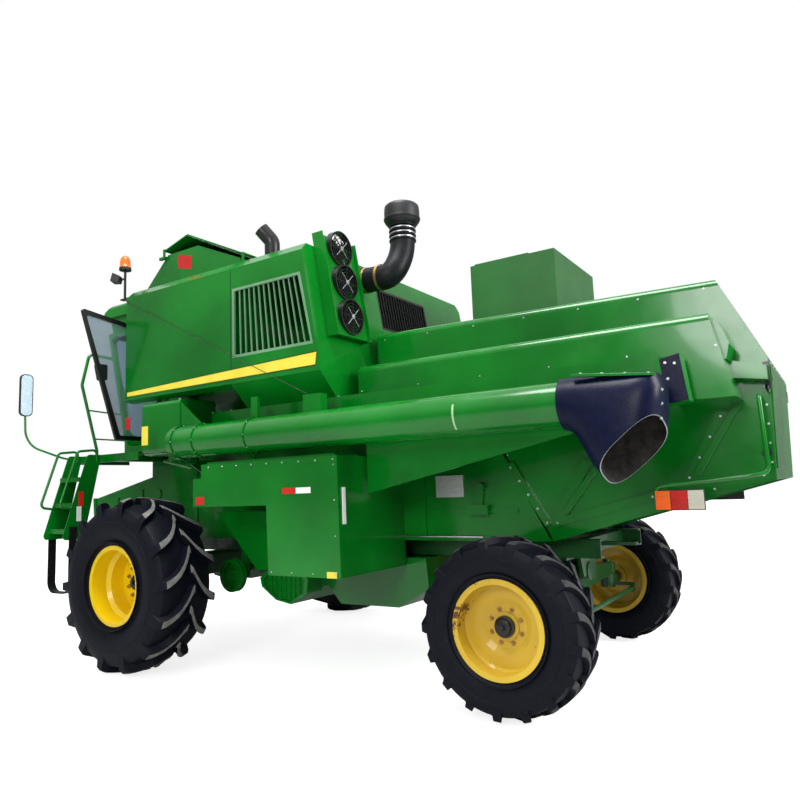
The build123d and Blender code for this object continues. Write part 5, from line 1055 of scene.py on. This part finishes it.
# %% [markdown]
# ## Small fittings
# Latches, pins, rods and a spring catch the light along the sides. The taut wire runs from the lamp
# bracket down to the auger, and the strut under the elbow steadies its pivot. Straight ones are
# blocks and tubes; the spring is a tube along a helix.

# %% Rear latches
latches = [block(-5296, -5262, 781, 812, 2110, 2290),
           tube([(-5280, 812, 2262), (-5280, 826, 2262)], 12),
           tube([(-5270, 800, 2140), (-5278, 830, 2120), (-5282, 836, 2085)], 9, 10)]
for side, _ in SIDES:
    for z in (1700, 2180):
        latches.append(block(-5262, -5205, side * 780, side * 792, z - 16, z + 16))
        latches.append(tube([(-5240, side * 792, z), (-5240, side * 806, z)], 10))
for y in (-620, 620):
    latches.append(block(-5299, -5290, y - 18, y + 18, 2180, 2240))
build("rear_latches", latches, [BLACK], "root", 2.0)

# %% Wire, strut, rod and spring
wire = tube([(345, 1452, 3600), (345, 1556, 3560), (-2100, 1600, 2330)], 3.0, 8)
build("taut_wire", [wire], [IRON], "root")
strut = tube([(-190, 1480, 1900), (-720, 1600, 1810)], 12, 12)
build("pivot_strut", [strut], [GREEN], "root")
rod = tube([(-2420, 812, 1160), (-3190, 812, 1157)], 8, 12)
build("side_rods", [rod], [CHROME], "root")
SPRING_X, SPRING_Y, SPRING_FOOT, COIL_RADIUS = -2290, 822, 1150, 13
# A point every 0.9 radians, 2.6 mm higher each time: about 18 turns
coil = [(SPRING_X + COIL_RADIUS * cos(k * 0.9), SPRING_Y + COIL_RADIUS * sin(k * 0.9),
         SPRING_FOOT + k * 2.6) for k in range(130)]
spring = [tube(coil, 4.0, 6), block(-2300, -2280, 803, 812, 1490, 1530),
          block(-2300, -2280, 803, 812, 1112, 1150)]
# the spring takes the darker green, which is painted shade
build("side_spring", spring, [PAINTED_SHADE_GREEN], "root")

# %% [markdown]
# ## Ribs, ladder films and the tank's lid
# The side covers are stiffened by three raised ribs, broader than the bars that the solids have under
# them. The ladder carries two reflective films, a dark gap parts the panels of the housing's side, and
# the fuel tank is closed by a shallow lid.

# %% Ribs, films and seam
RIBS = [[(-3412, 1722), (-3474, 1735), (-3756, 1256), (-3706, 1232)],
        [(-4100, 1668), (-4146, 1655), (-3888, 1322), (-3842, 1345)],
        [(-5060, 2026), (-5108, 2022), (-4822, 1569), (-4774, 1584)]]
ribs = [slab(outline, side * 779, side * 804) for side, _ in SIDES for outline in RIBS]
build("hood_ribs", ribs, [GREEN], "root", 3.0)
step_films = [block(947, 950, 1588, 1640, 1502, 1650, 0), block(947, 950, 1606, 1658, 1352, 1500, 1)]
build("ladder_films", step_films, [RED_FILM, WHITE_FILM], "root")
build("panel_seam", [block(-1168.5, -1162, 1545, 1551, 2560, 3570)], [BLACK_FILM], "root")

# %% Fuel tank's lid
lid = [block(-3362, -2838, -1052, -58, 3671, 3681.5, 0),
       block(-3377, -2823, -1067, -43, 3660, 3671.5, 0)]
build("tank_cover", lid, [BLACK], "root", 2.0)
